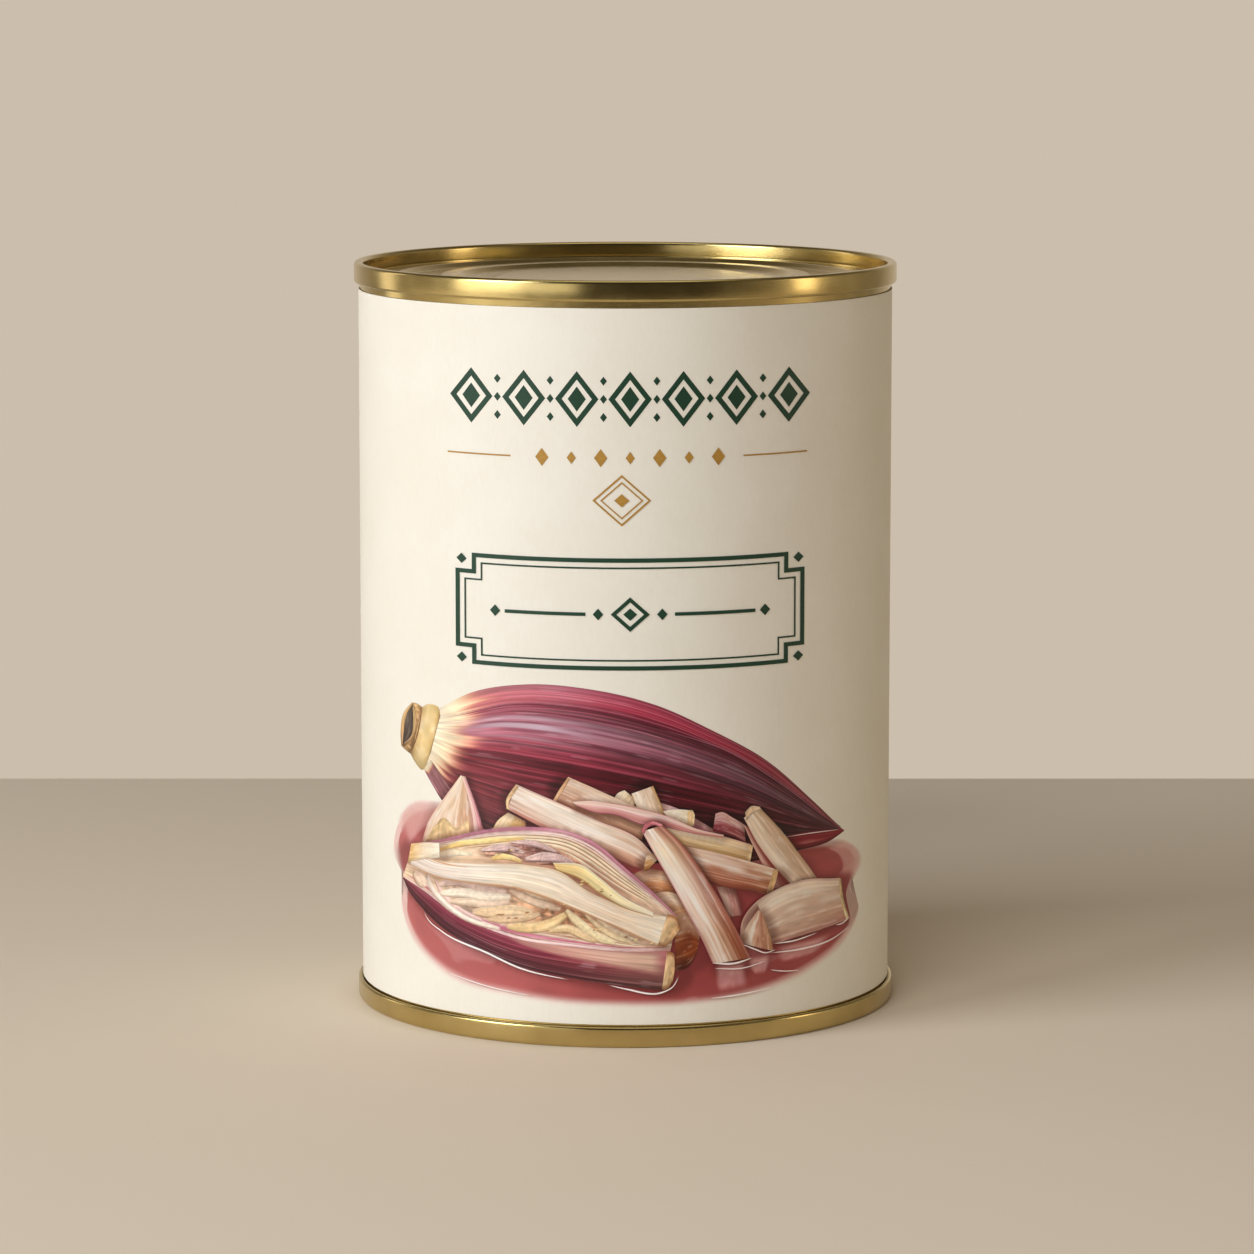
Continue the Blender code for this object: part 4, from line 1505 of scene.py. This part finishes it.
        flesh = Paint(
            along=(0xECCCA8, 0xEECCA8, 0xDCAC8C, 0xCA9074, 0xDEB494, 0xEACCB0),
            fibres=0.09, fibre_count=26, fibre_length=5, mottle=0.08, round_shade=0.0, fibre_tint_share=0.5,
            rims=(0xCE8C9C, 0xE8BEB4), rim_reach=(0.05, 0.06), seed=83,
        )
        core = Paint(
            along=(0xE2CEC0, 0xEAD8C6, 0xF0DEC4, 0xEED8BE, 0xE8CCAE, PALE),
            fibres=0.07, fibre_count=17, fibre_length=2.6, round_shade=0.05, round_middle=0.4, shine=0.25,
            mottle=0.05, flat=True, wet=0.35, fibre_tint_share=0.5, rims=(0xE4C49C, 0xDAAA7C),
            rim_reach=(0.07, 0.09), seed=85,
        )
        upper_leaves = self.nested(rim, core_top, (0.03, 0.10, 0.17, 0.25, 0.34, 0.45), 87)
        lower_leaves = self.nested(keel, core_low, (0.05, 0.14, 0.23, 0.33), 88)
        stalk_end = Paint(along=(0xE8C494, 0xD4A472), rims=(0xB07448, 0xBE8458),
                          fibres=0.1, fibre_count=5, mottle=0.1, round_shade=0.15, seed=89)
        return [
            Item("half_skin", [
                (Patch(keel.beside((0.3, 0.3)), sole), skin),
                (Patch(Line((-20, 17), (-12, 15.6), (-4, 14.9), (6.6, 14.5)),
                       Line((-16, 14.6), (-10, 13.2), (-3, 11.9), (6.2, 10))), bare),
                (Patch(Line((6, 14.1), (6.8, 13.9), (7.2, 11.6)), Line((5.3, 8.5), (5.9, 8.5), (6.8, 9.6))),
                 stalk_end),
            ], casts=0.7, takes=0.25),
            Item("half_flesh", [
                (Patch(rim, keel), flesh), *upper_leaves, *lower_leaves,
                (stroke(rim, 0.2, 0.6, 0.65, 0.6, 0.6, 0.5, 0.3), self.strand(0xC47C90, 0.9)),
                (stroke(rim.beside((-0.5, -0.6)), 0.1, 0.3, 0.35, 0.3, 0.1), self.strand(0xF4DAD6, 0.9)),
                (stroke(keel.beside((0.7, 0.9, 0.5)), 0.2, 0.6, 0.5, 0.2, 0.1), self.strand(0xCE6086, 0.85)),
                (stroke(Line((-27.6, 21.6), (-24.5, 19.4), (-20.4, 17.6), (-15, 16.6)), 0.1, 0.35, 0.3, 0.1),
                 self.strand(0xD67A96, 0.8)),
                (stroke(keel.beside((0.2, 0.25)), 0.2, 0.45, 0.5, 0.4, 0.2), self.strand(0xF4D6D6, 0.9)),
            ], casts=0.5),
            Item("half_cavity", self.cavity()),
            Item("half_florets", self.florets()),
            Item("half_core", [
                (Patch(core_top, core_low), core),
                (Patch(Line((-10.4, 27), (-6.2, 26.8), (-3.9, 25.2), (-0.5, 22.4), (4, 19.9)),
                       Line((-9.8, 25.9), (-6.6, 24.7), (-3.9, 22.8), (-0.8, 20.9), (4, 19.2))),
                 Paint(along=(HONEY, 0xF6DEA0, 0xF6E2B0, PALE), fibres=0.07, fibre_count=7, seed=91,
                       rims=(0xFAECCE, 0xBE8242), rim_reach=(0.2, 0.2))),
                (Patch(Line((-31.3, 27.2), (-29.4, 27.8), (-27, 28.2)),
                       Line((-31.8, 24.4), (-29.6, 25.2), (-27, 26))),
                 Paint(along=(0xE2B270, CREAM, PALE), fibres=0.06, fibre_count=6, round_shade=0.1, seed=93)),
                (Patch(Line((6, 19.6), (7.3, 19.2), (7.9, 17.4)),
                       Line((4.7, 15.2), (5.4, 14.8), (6.6, 15.6))), stalk_end),
                (stroke(Line((-29.4, 25.7), (-25.6, 25.2), (-22.6, 25.2)), 0.1, 0.3, 0.1),
                 line_ink(0xCE8C50, 0.8)),
                (stroke(core_low.beside((0, -0.1)), 0.1, 0.2, 0.35, 0.3, 0.4, 0.2, 0.3, 0.2),
                 line_ink(0xA46A42, 0.5)),
            ], casts=0.3),
            Item("half_specks", self.specks()),
        ]

    @staticmethod
    def strand(colour: Print, cover: float = 1.0, seed: int = 3) -> Paint:
        """A thin leaf seen on its cut edge."""
        return Paint(along=(colour,), fibres=0.08, fibre_count=3, fibre_length=6, mottle=0.06,
                     round_shade=0.25, fibre_tint_share=0.3, cover=cover, fade_side=0.18, fade_end=0.04,
                     seed=seed)

    def nested(self, outer: Line, inner: Line, shares: tuple[float, ...], seed: int) -> list[Part]:
        """Bracts nested in each other: pale cut edges with dark gaps between them."""
        parts = []
        for number, share in enumerate(shares):
            start = 0.05 + 0.025 * number
            gap = outer.toward(inner, share + 0.02, start, 0.98 - 0.02 * number)
            leaf = outer.toward(inner, share + 0.055, start + 0.02, 0.985 - 0.02 * number)
            tint = 0x824240 if number < 2 else 0x986232
            parts.append((stroke(gap, 0.06, 0.26, 0.3, 0.24, 0.06), line_ink(tint, 0.85)))
            tone = (0xECC4BE, 0xF6DAC6, 0xFBE9CA)[min(number, 2)]
            parts.append((stroke(leaf, 0.1, 0.42, 0.46, 0.4, 0.12), self.strand(tone, 0.95, seed + number)))
        return parts

    def cavity(self) -> list[Part]:
        """The dark hollow over the core, with the grey-pink inner bracts and yellow flower stalks in it."""
        hollow = Paint(along=(0xBA8A68, 0xA6766A, 0x986458, 0xB8805A), fibres=0.22,
                       fibre_count=7, fibre_length=8, mottle=0.25, fade_side=0.2, fade_end=0.1, seed=95)
        grey = Paint(along=(0xE4C4B6, 0xCEA8A4, 0xDCBAB0), fibres=0.1, fibre_count=5,
                     fibre_length=6, mottle=0.12, rims=(0xE2C4BA, 0x845854), fade_end=0.06, seed=97)
        gold = Paint(along=(0xF0C470, 0xF8DC96, 0xF4CC82), fibres=0.08, fibre_count=4,
                     mottle=0.08, rims=(0xFAE6B4, 0xBE803C), fade_end=0.06, seed=99)
        return [
            (Patch(Line((-22, 28), (-17, 29.5), (-12.6, 30.1), (-8.6, 28.6), (-5.4, 26.6)),
                   Line((-21.4, 27), (-17, 26.7), (-13, 26.4), (-9.6, 26.2), (-5.8, 25.4))), hollow),
            (stroke(Line((-21, 27.9), (-17.6, 28.6), (-14.4, 28.2)), 0.4, 1.3, 0.5), grey),
            (stroke(Line((-16.8, 29.6), (-13.2, 29.6), (-9.8, 28.6)), 0.4, 1.0, 0.4), grey),
            (stroke(Line((-14.6, 27.2), (-11.4, 27.7), (-8.4, 27.3), (-6.6, 26.4)), 0.5, 1.5, 1.3, 0.4),
             grey),
            (stroke(Line((-19.4, 26.9), (-17, 27.4), (-14.8, 26.8)), 0.5, 1.0, 0.5), gold),
            (stroke(Line((-28.2, 26.4), (-24.6, 28.3), (-19.6, 29.5), (-14.2, 30.4)), 0.3, 0.9, 0.9, 0.4),
             gold),
            (stroke(Line((-28, 26), (-25.2, 27), (-22, 27.3)), 0.8, 1.5, 0.5),
             self.strand(0xF8E6C4, 1.0, 101)),
            (stroke(Line((-18.6, 28), (-16.8, 27.9), (-15.6, 27.6)), 0.1, 0.5, 0.1),
             line_ink(0x5A302C, 0.85)),
            (stroke(Line((-13.8, 28.4), (-11.2, 28.6), (-9, 28.3)), 0.1, 0.4, 0.1), line_ink(0x5A302C, 0.8)),
            (stroke(Line((-12.4, 26.6), (-10.4, 26.7), (-8.8, 26.4)), 0.1, 0.45, 0.1),
             line_ink(0x6E3C28, 0.8)),
        ]

    def florets(self) -> list[Part]:
        """The young flowers under the core: finger shapes side by side, dark between."""
        dark = Paint(along=(0xEECEB6, 0xDEB492, 0xBE8660, 0xCE9A70), fibres=0.2,
                     fibre_count=8, fibre_length=6, mottle=0.25, fade_side=0.18, fade_end=0.1, seed=103)
        fingers = (
            (Line((-28.8, 24.2), (-28.6, 22), (-26.8, 19.8), (-23.6, 17.9), (-18, 16.6)), 0.9, 0xF8E2D0),
            (Line((-27.8, 22.6), (-26.6, 20.8), (-24, 18.8), (-20.6, 17.5)), 0.7, 0xF0C8BE),
            (Line((-30.6, 23.4), (-30, 22.2), (-29.2, 21.2)), 1.6, 0xF0D0B4),
            (Line((-27.2, 21.9), (-24.5, 22.9), (-21, 22.3), (-17, 22.1)), 1.3, 0xF4D6C4),
            (Line((-27, 20.7), (-23.3, 21.3), (-19.8, 21.1), (-16.4, 21.5)), 1.4, 0xF8E4CA),
            (Line((-25.6, 19.7), (-22.6, 20), (-19.6, 20.1), (-16.6, 20.8)), 1.2, 0xF0D0B2),
            (Line((-16.8, 22.5), (-14.4, 21.5), (-11.8, 20.7), (-9.2, 20.2)), 1.1, 0xECCCAC),
            (Line((-14.8, 22.6), (-12.2, 22.1), (-8.6, 21.5), (-7.2, 20.9)), 1.2, 0xF4DCB8),
            (Line((-22.2, 18.7), (-19.6, 18.9), (-16.2, 19.5), (-13.2, 19.5)), 1.5, 0xECC89C),
            (Line((-20, 17.8), (-16.8, 18.2), (-13.6, 18.8), (-12.2, 19.4)), 1.0, 0xE2BC92),
            (Line((-17.2, 17.1), (-13.6, 17.2), (-10.4, 18.1), (-8.4, 19.6)), 1.4, 0xF4CE92),
            (Line((-8.6, 20.2), (-6.6, 18.2), (-4.2, 16.4), (-1.4, 15.4)), 1.3, 0xF6DEAC),
            (Line((-5.8, 19.6), (-4, 18), (-2, 16.6), (0.8, 15.5)), 0.8, 0xF0D4A6),
            (Line((-4.6, 19.4), (-2.4, 17.8), (-0.2, 16.6), (2.2, 15.4)), 0.6, 0xF6E0BA),
            (Line((-11, 16.9), (-8.4, 17.4), (-6, 16.4), (-4.2, 15.6)), 1.1, 0xEECA96),
        )
        parts = [(Patch(Line((-27.6, 22.8), (-21, 22.8), (-14, 22.4), (-7, 20.4), (-1, 18)),
                        Line((-26, 19.4), (-20, 17.4), (-13, 16.6), (-7, 16.2), (-1, 16.2))), dark)]
        for number, (line, width, tone) in enumerate(fingers):
            finger = Paint(
                along=(tone, toned(tone, lift=8), toned(tone, 0.95)),
                fibres=0.06, fibre_count=5, mottle=0.07, round_shade=0.2, round_middle=0.4, shine=0.2,
                rims=(0xFCEED6, 0xC48C62), rim_reach=(0.12, 0.22), fade_side=0.06,
                fade_end=0.03, seed=105 + number,
            )
            widths = (1.25 * width * share for share in (0.4, 0.9, 1, 1, 0.9, 0.5))
            parts.append((stroke(line, *widths), finger))
        return parts

    def specks(self) -> list[Part]:
        """Small dark flecks and seed-like dots along the gaps of the cut face."""
        draw = np.random.default_rng(29)
        parts = []
        tracks = (
            Line((-6.4, 24.4), (-2.8, 22.7), (1.4, 20.6)), Line((-15.6, 18.6), (-11.4, 20), (-8.6, 21.2)),
            Line((-21, 18.6), (-17, 18.6), (-13.4, 19.2)), Line((-4.4, 17.6), (0.4, 16.2), (4, 15.4)),
            Line((-18.4, 27.4), (-14.4, 28.8), (-10.6, 28.2)),
        )
        for track in tracks:
            for place in track.at(draw.uniform(0, 1, 9)):
                spot = place + draw.uniform(-0.35, 0.35, 2)
                size = draw.uniform(0.16, 0.42)
                dot = Line(tuple(spot - (size, 0.1)), tuple(spot + (size, 0.1)), smooth=False)
                tone = (0x96582E, 0x703E24, 0xFCE2A0)[int(draw.integers(3))]
                parts.append((stroke(dot, 0.05, size, 0.05), line_ink(tone, 0.75)))
        return parts

    def items(self) -> list[Item]:
        """Every item of the picture, from the lowest to the topmost."""
        return [
            self.pool(), self.reflections(), *self.whole_blossom(),
            *(strip.item() for strip in BACK_STRIPS + MIDDLE_STRIPS), *self.cut_half(),
            *(strip.item() for strip in FRONT_STRIPS), self.ripples(),
        ]


# ---- The label's plain printed ornaments ----

GREEN = 0x1E3E2C
GOLD = 0xB0843A


def lozenge(middle: Spot, wide: float, tall: float) -> Patch:
    """A filled lozenge."""
    x, z = middle
    left, right = (x - wide / 2, z), (x + wide / 2, z)
    return Patch(
        Line(left, (x, z + tall / 2), right, smooth=False), Line(left, (x, z - tall / 2), right, smooth=False)
    )


def lozenge_ring(middle: Spot, wide: float, tall: float, line: float) -> Patch:
    """A lozenge drawn in outline."""
    def loop(shrink: float) -> Line:
        """The outline at a share of its size."""
        x, z = middle
        w, h = wide / 2 * shrink, tall / 2 * shrink
        return Line((x - w, z), (x, z + h), (x + w, z), (x, z - h), (x - w, z), smooth=False)

    return Patch(loop(1.0), loop(1.0 - line * 2 * math.hypot(wide, tall) / (wide * tall)))


def notched_frame(low: Spot, high: Spot, notch: float, line: float) -> Patch:
    """A rectangle with stepped-in corners, drawn in outline."""
    def loop(inset: float) -> Line:
        """The outline, moved in."""
        left, bottom = low[0] + inset, low[1] + inset
        right, top = high[0] - inset, high[1] - inset
        return Line(
            (left + notch, top), (right - notch, top), (right - notch, top - notch), (right, top - notch),
            (right, bottom + notch), (right - notch, bottom + notch), (right - notch, bottom),
            (left + notch, bottom), (left + notch, bottom + notch), (left, bottom + notch),
            (left, top - notch), (left + notch, top - notch), (left + notch, top), smooth=False,
        )

    return Patch(loop(0.0), loop(line))


def bar(start: float, end: float, height: float, line: float) -> Patch:
    """A straight level rule."""
    return Patch(
        Line((start, height + line / 2), (end, height + line / 2), smooth=False),
        Line((start, height - line / 2), (end, height - line / 2), smooth=False),
    )


@dataclass(frozen=True)
class LabelOrnaments:
    """Plain lozenge borders and an empty frame, where a label would carry its words."""

    middle: float = 0.7
    frieze_height: float = 94.2
    frieze_pitch: float = 7.6
    frieze_count: int = 7
    rule_height: float = 85.8
    emblem_height: float = 79.7
    frame_low: Spot = (-24.5, 55.2)
    frame_high: Spot = (25.9, 71.4)

    @staticmethod
    def flat(colour: Print) -> Paint:
        """Evenly printed ink."""
        return PlainInk(along=(colour,), mottle=0.05, fibre_count=6, fibre_length=4)

    def frieze(self) -> Item:
        """A dark green row of lozenges, each round a smaller one, with dots between them."""
        green = self.flat(GREEN)
        parts = []
        for number in range(self.frieze_count):
            x = self.middle + (number - (self.frieze_count - 1) / 2) * self.frieze_pitch
            parts.append((lozenge_ring((x, self.frieze_height), 6.2, 8.0, 0.75), green))
            parts.append((lozenge((x, self.frieze_height), 2.6, 3.6), green))
            if number:
                dot = x - self.frieze_pitch / 2
                for step in (-2.6, 0.0, 2.6):
                    parts.append((lozenge((dot, self.frieze_height + step), 1.0, 1.3), green))
        return Item("green_frieze", parts)

    def rules(self) -> Item:
        """Two thin gold rules with small lozenges between them."""
        gold = self.flat(GOLD)
        parts = [
            (bar(start, end, self.rule_height, 0.22), gold) for start, end in ((-25.6, -16.4), (16.9, 26.2))
        ]
        for number in range(7):
            x = self.middle + (number - 3) * 4.2
            wide, tall = (1.3, 1.8) if number % 2 else (1.9, 2.6)
            parts.append((lozenge((x, self.rule_height), wide, tall), gold))
        return Item("gold_rules", parts)

    def emblem(self) -> Item:
        """A small gold lozenge within lozenges."""
        gold = self.flat(GOLD)
        middle = (self.middle - 1.2, self.emblem_height)
        return Item("gold_emblem", [
            (lozenge_ring(middle, 8.4, 7.4, 0.26), gold), (lozenge_ring(middle, 6.2, 5.4, 0.2), gold),
            (lozenge(middle, 2.2, 1.9), gold),
        ])

    def frame(self) -> Item:
        """An empty double frame with stepped corners, a small lozenge in each step."""
        green = self.flat(GREEN)
        inner_low = (self.frame_low[0] + 1.3, self.frame_low[1] + 1.3)
        inner_high = (self.frame_high[0] - 1.3, self.frame_high[1] - 1.3)
        parts = [
            (notched_frame(self.frame_low, self.frame_high, 2.4, 0.62), green),
            (notched_frame(inner_low, inner_high, 2.4, 0.24), green),
        ]
        for x in (self.frame_low[0] + 0.9, self.frame_high[0] - 0.9):
            for z in (self.frame_low[1] + 0.9, self.frame_high[1] - 0.9):
                parts.append((lozenge((x, z), 1.5, 1.5), green))
        height = (self.frame_low[1] + self.frame_high[1]) / 2
        parts.append((lozenge_ring((self.middle, height), 5.6, 5.0, 0.55), green))
        parts.append((lozenge((self.middle, height), 2.0, 1.8), green))
        for side in (-1, 1):
            parts.append((lozenge((self.middle + side * 4.6, height), 1.5, 1.7), green))
            ends = sorted((self.middle + side * 6.4, self.middle + side * 18.0))
            parts.append((bar(ends[0], ends[1], height, 0.5), green))
            parts.append((lozenge((self.middle + side * 19.4, height), 1.5, 1.7), green))
        return Item("green_frame", parts)

    def items(self) -> list[Item]:
        """Every ornament."""
        return [self.frieze(), self.rules(), self.emblem(), self.frame()]


# ---- Stage ----


@dataclass
class Stage:
    """The floor, the lights and the camera."""

    height: float
    lens: float = 151.2
    distance: float = 0.786
    eye: float = 0.1683
    aside: float = 0.25 * MM
    pitch: float = 8.145
    room: tuple[tuple[float, Colour], ...] = (
        (0.08, (0.045, 0.038, 0.028)), (0.36, (0.36, 0.31, 0.24)), (0.62, (0.36, 0.31, 0.24)),
        (0.84, (0.26, 0.22, 0.16)), (0.97, (0.62, 0.54, 0.44)),
    )
    wall: Colour = srgb(0xCCBEAC)
    table_width: float = 1.8
    table_thickness: float = 0.03
    table_front: float = -0.45
    table_back: float = 0.193
    table_edge: float = 4 * MM

    def table(self) -> None:
        """A pale table top with a rounded edge, just behind the can and well in front of it."""
        deselect_all()
        deep = self.table_back - self.table_front
        middle = (0.0, (self.table_back + self.table_front) / 2, -self.table_thickness / 2)
        bpy.ops.mesh.primitive_cube_add(size=1.0, location=middle)
        table = take(bpy.context.object)
        table.name = "table_top"
        table.scale = (self.table_width, deep, self.table_thickness)
        bpy.ops.object.transform_apply(location=True, rotation=False, scale=True)
        bpy.ops.object.mode_set(mode="EDIT")
        bpy.ops.mesh.select_all(action="SELECT")
        bpy.ops.mesh.bevel(offset=self.table_edge, segments=4)
        bpy.ops.object.mode_set(mode="OBJECT")
        bpy.ops.object.shade_smooth_by_angle(angle=SMOOTH_ANGLE)
        shader = Shader("pale_table")
        shader.surface.inputs["Base Color"].default_value = opaque(srgb(0xE9D9C3))
        shader.surface.inputs["Roughness"].default_value = 0.7
        shader.surface.inputs["Specular IOR Level"].default_value = 0.25
        table.data.materials.append(shader.material)
        table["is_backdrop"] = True

    def lamp(
        self, name: str, azimuth: float, elevation: float, reach: float, size: tuple[float, float],
        power: float, colour: Colour,
    ) -> bpy.types.Object:
        """Hang a soft rectangular lamp that faces the can.

        Args:
            name: The lamp's name.
            azimuth: Degrees round from the label's front, positive to the right.
            elevation: Degrees above the floor.
            reach: Metres from the can's middle.
            size: Width and height in metres.
            power: Watts.
            colour: The light's colour.

        Returns:
            The lamp.
        """
        lamp = bpy.data.lights.new(name, "AREA")
        lamp.shape = "RECTANGLE"
        lamp.size, lamp.size_y = size
        lamp.energy = power
        lamp.color = colour
        holder = bpy.data.objects.new(name, lamp)
        bpy.context.scene.collection.objects.link(holder)
        turn, lift = math.radians(azimuth), math.radians(elevation)
        way = Vector((math.sin(turn) * math.cos(lift), -math.cos(turn) * math.cos(lift), math.sin(lift)))
        holder.location = Vector((0, 0, self.height / 2)) + way * reach
        holder.rotation_euler = way.to_track_quat("Z", "Y").to_euler()
        holder.visible_camera = False
        return holder

    def lights(self) -> None:
        """A soft key, a wash, a card on each side, and two streaks and a top card that only gloss shows."""
        self.lamp("key", -58, 24, 1.5, (0.72, 0.95), 14.4, (0.92, 0.98, 1.05))
        self.lamp("front_wash", -18, 34, 1.4, (0.7, 0.5), 7.8, (0.97, 0.98, 1.0)).visible_glossy = False
        self.lamp("low_streak", -60, 3, 1.0, (0.5, 0.22), 0.78, (1.0, 0.97, 0.9)).visible_diffuse = False
        self.lamp("streak_tail", -34, 3, 1.0, (0.5, 0.22), 0.46, (1.0, 0.97, 0.9)).visible_diffuse = False
        self.lamp("right_card", 80, 6, 1.0, (0.19, 0.7), 1.25, (1.0, 0.84, 0.62))
        self.lamp("left_card", -118, 10, 1.1, (0.22, 0.8), 0.8, (1.0, 0.93, 0.82))
        self.lamp("top_card", 0, 89, 0.9, (0.7, 0.7), 1.2, (1.0, 0.97, 0.9)).visible_diffuse = False

    def background(self) -> None:
        """A pale surround, darker towards the front, so that the metal has something to reflect."""
        world = bpy.data.worlds.new("surround")
        bpy.context.scene.world = world
        world.use_nodes = True
        tree = world.node_tree
        where = tree.nodes.new("ShaderNodeTexCoord")
        axes = tree.nodes.new("ShaderNodeSeparateXYZ")
        path = tree.nodes.new("ShaderNodeLightPath")
        room = tree.nodes.new("ShaderNodeValToRGB")
        while len(room.color_ramp.elements) < len(self.room):
            room.color_ramp.elements.new(0.5)
        for element, (place, colour) in zip(room.color_ramp.elements, self.room):
            element.position = place
            element.color = opaque(colour)
        turn = tree.nodes.new("ShaderNodeMapRange")
        turn.inputs["From Min"].default_value = -1.0
        seen = tree.nodes.new("ShaderNodeMix")
        seen.data_type = "RGBA"
        seen.inputs[7].default_value = opaque(self.wall)
        links = tree.links
        links.new(where.outputs["Generated"], axes.inputs[0])
        links.new(axes.outputs["Y"], turn.inputs["Value"])
        links.new(turn.outputs["Result"], room.inputs["Fac"])
        links.new(path.outputs["Is Camera Ray"], seen.inputs["Factor"])
        links.new(room.outputs["Color"], seen.inputs[6])
        links.new(seen.outputs[2], tree.nodes["Background"].inputs["Color"])
        lift = tree.nodes.new("ShaderNodeMapRange")
        for name, value in (("From Min", 0.15), ("From Max", 0.7), ("To Min", 1.0), ("To Max", 0.35)):
            lift.inputs[name].default_value = value
        links.new(axes.outputs["Z"], lift.inputs["Value"])
        links.new(lift.outputs["Result"], tree.nodes["Background"].inputs["Strength"])

    def camera(self) -> None:
        """Stand the camera in front of the label, a little above the can."""
        lens = bpy.data.cameras.new("camera")
        lens.lens = self.lens
        lens.sensor_width = 36.0
        lens.clip_start = 0.01
        lens.clip_end = 50.0
        eye = bpy.data.objects.new("camera", lens)
        bpy.context.scene.collection.objects.link(eye)
        eye.location = (self.aside, -self.distance, self.eye)
        eye.rotation_euler = (math.radians(90 - self.pitch), 0.0, 0.0)
        bpy.context.scene.camera = eye

    def build(self) -> None:
        """Set the whole stage."""
        self.table()
        self.lights()
        self.background()
        self.camera()
        bpy.context.scene.view_settings.view_transform = "Standard"


# ---- Assembly ----


def build_can() -> None:
    """Build every piece in order."""
    low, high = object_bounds()
    Stage(high.z).build()
    metal = LacqueredTinplate().make()
    rubber = PlainFinish("sealing_compound", srgb(0x5C5A54), srgb(0x464440), 0.6).make()
    SeamedCan(radius=high.x, height=high.z).build(metal, rubber)
    paper = LabelPaper()
    label_low, label_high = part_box("paper_label")
    thickness = WrappedLabel.paper
    label = WrappedLabel(-label_low.y - thickness / 2, label_low.z, label_high.z)
    label.build(paper.make())
    glue = PlainFinish("label_glue", srgb(0xCEAA6E), srgb(0xB0864E), 0.3, 900.0, 0.3).make()
    label.glue("label_pick_up_glue", -0.12 * MM, 9.0, glue)
    label.glue("label_lap_glue", 0.14 * MM, 18.0, glue)
    PackedBlossom().build(frame["nodes"])
    brine = frame["nodes"]["brine"]
    finish = PlainFinish("brine", srgb(0xE2B0A8), srgb(0xCE908A), 0.03, 60.0, 0.85).make()
    brine.data.materials.clear()
    brine.data.materials.append(finish)
    ink = PrintedInk(paper=paper).make()
    Printer(label, ink).print_items(LabelOrnaments().items())
    Printer(label, ink).print_items(BlossomPicture().items())


def main() -> None:
    """Build the can."""
    logging.basicConfig(level=logging.INFO, format="%(name)s: %(message)s")
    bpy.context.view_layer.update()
    build_can()
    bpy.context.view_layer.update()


if __name__ == "__main__":
    main()
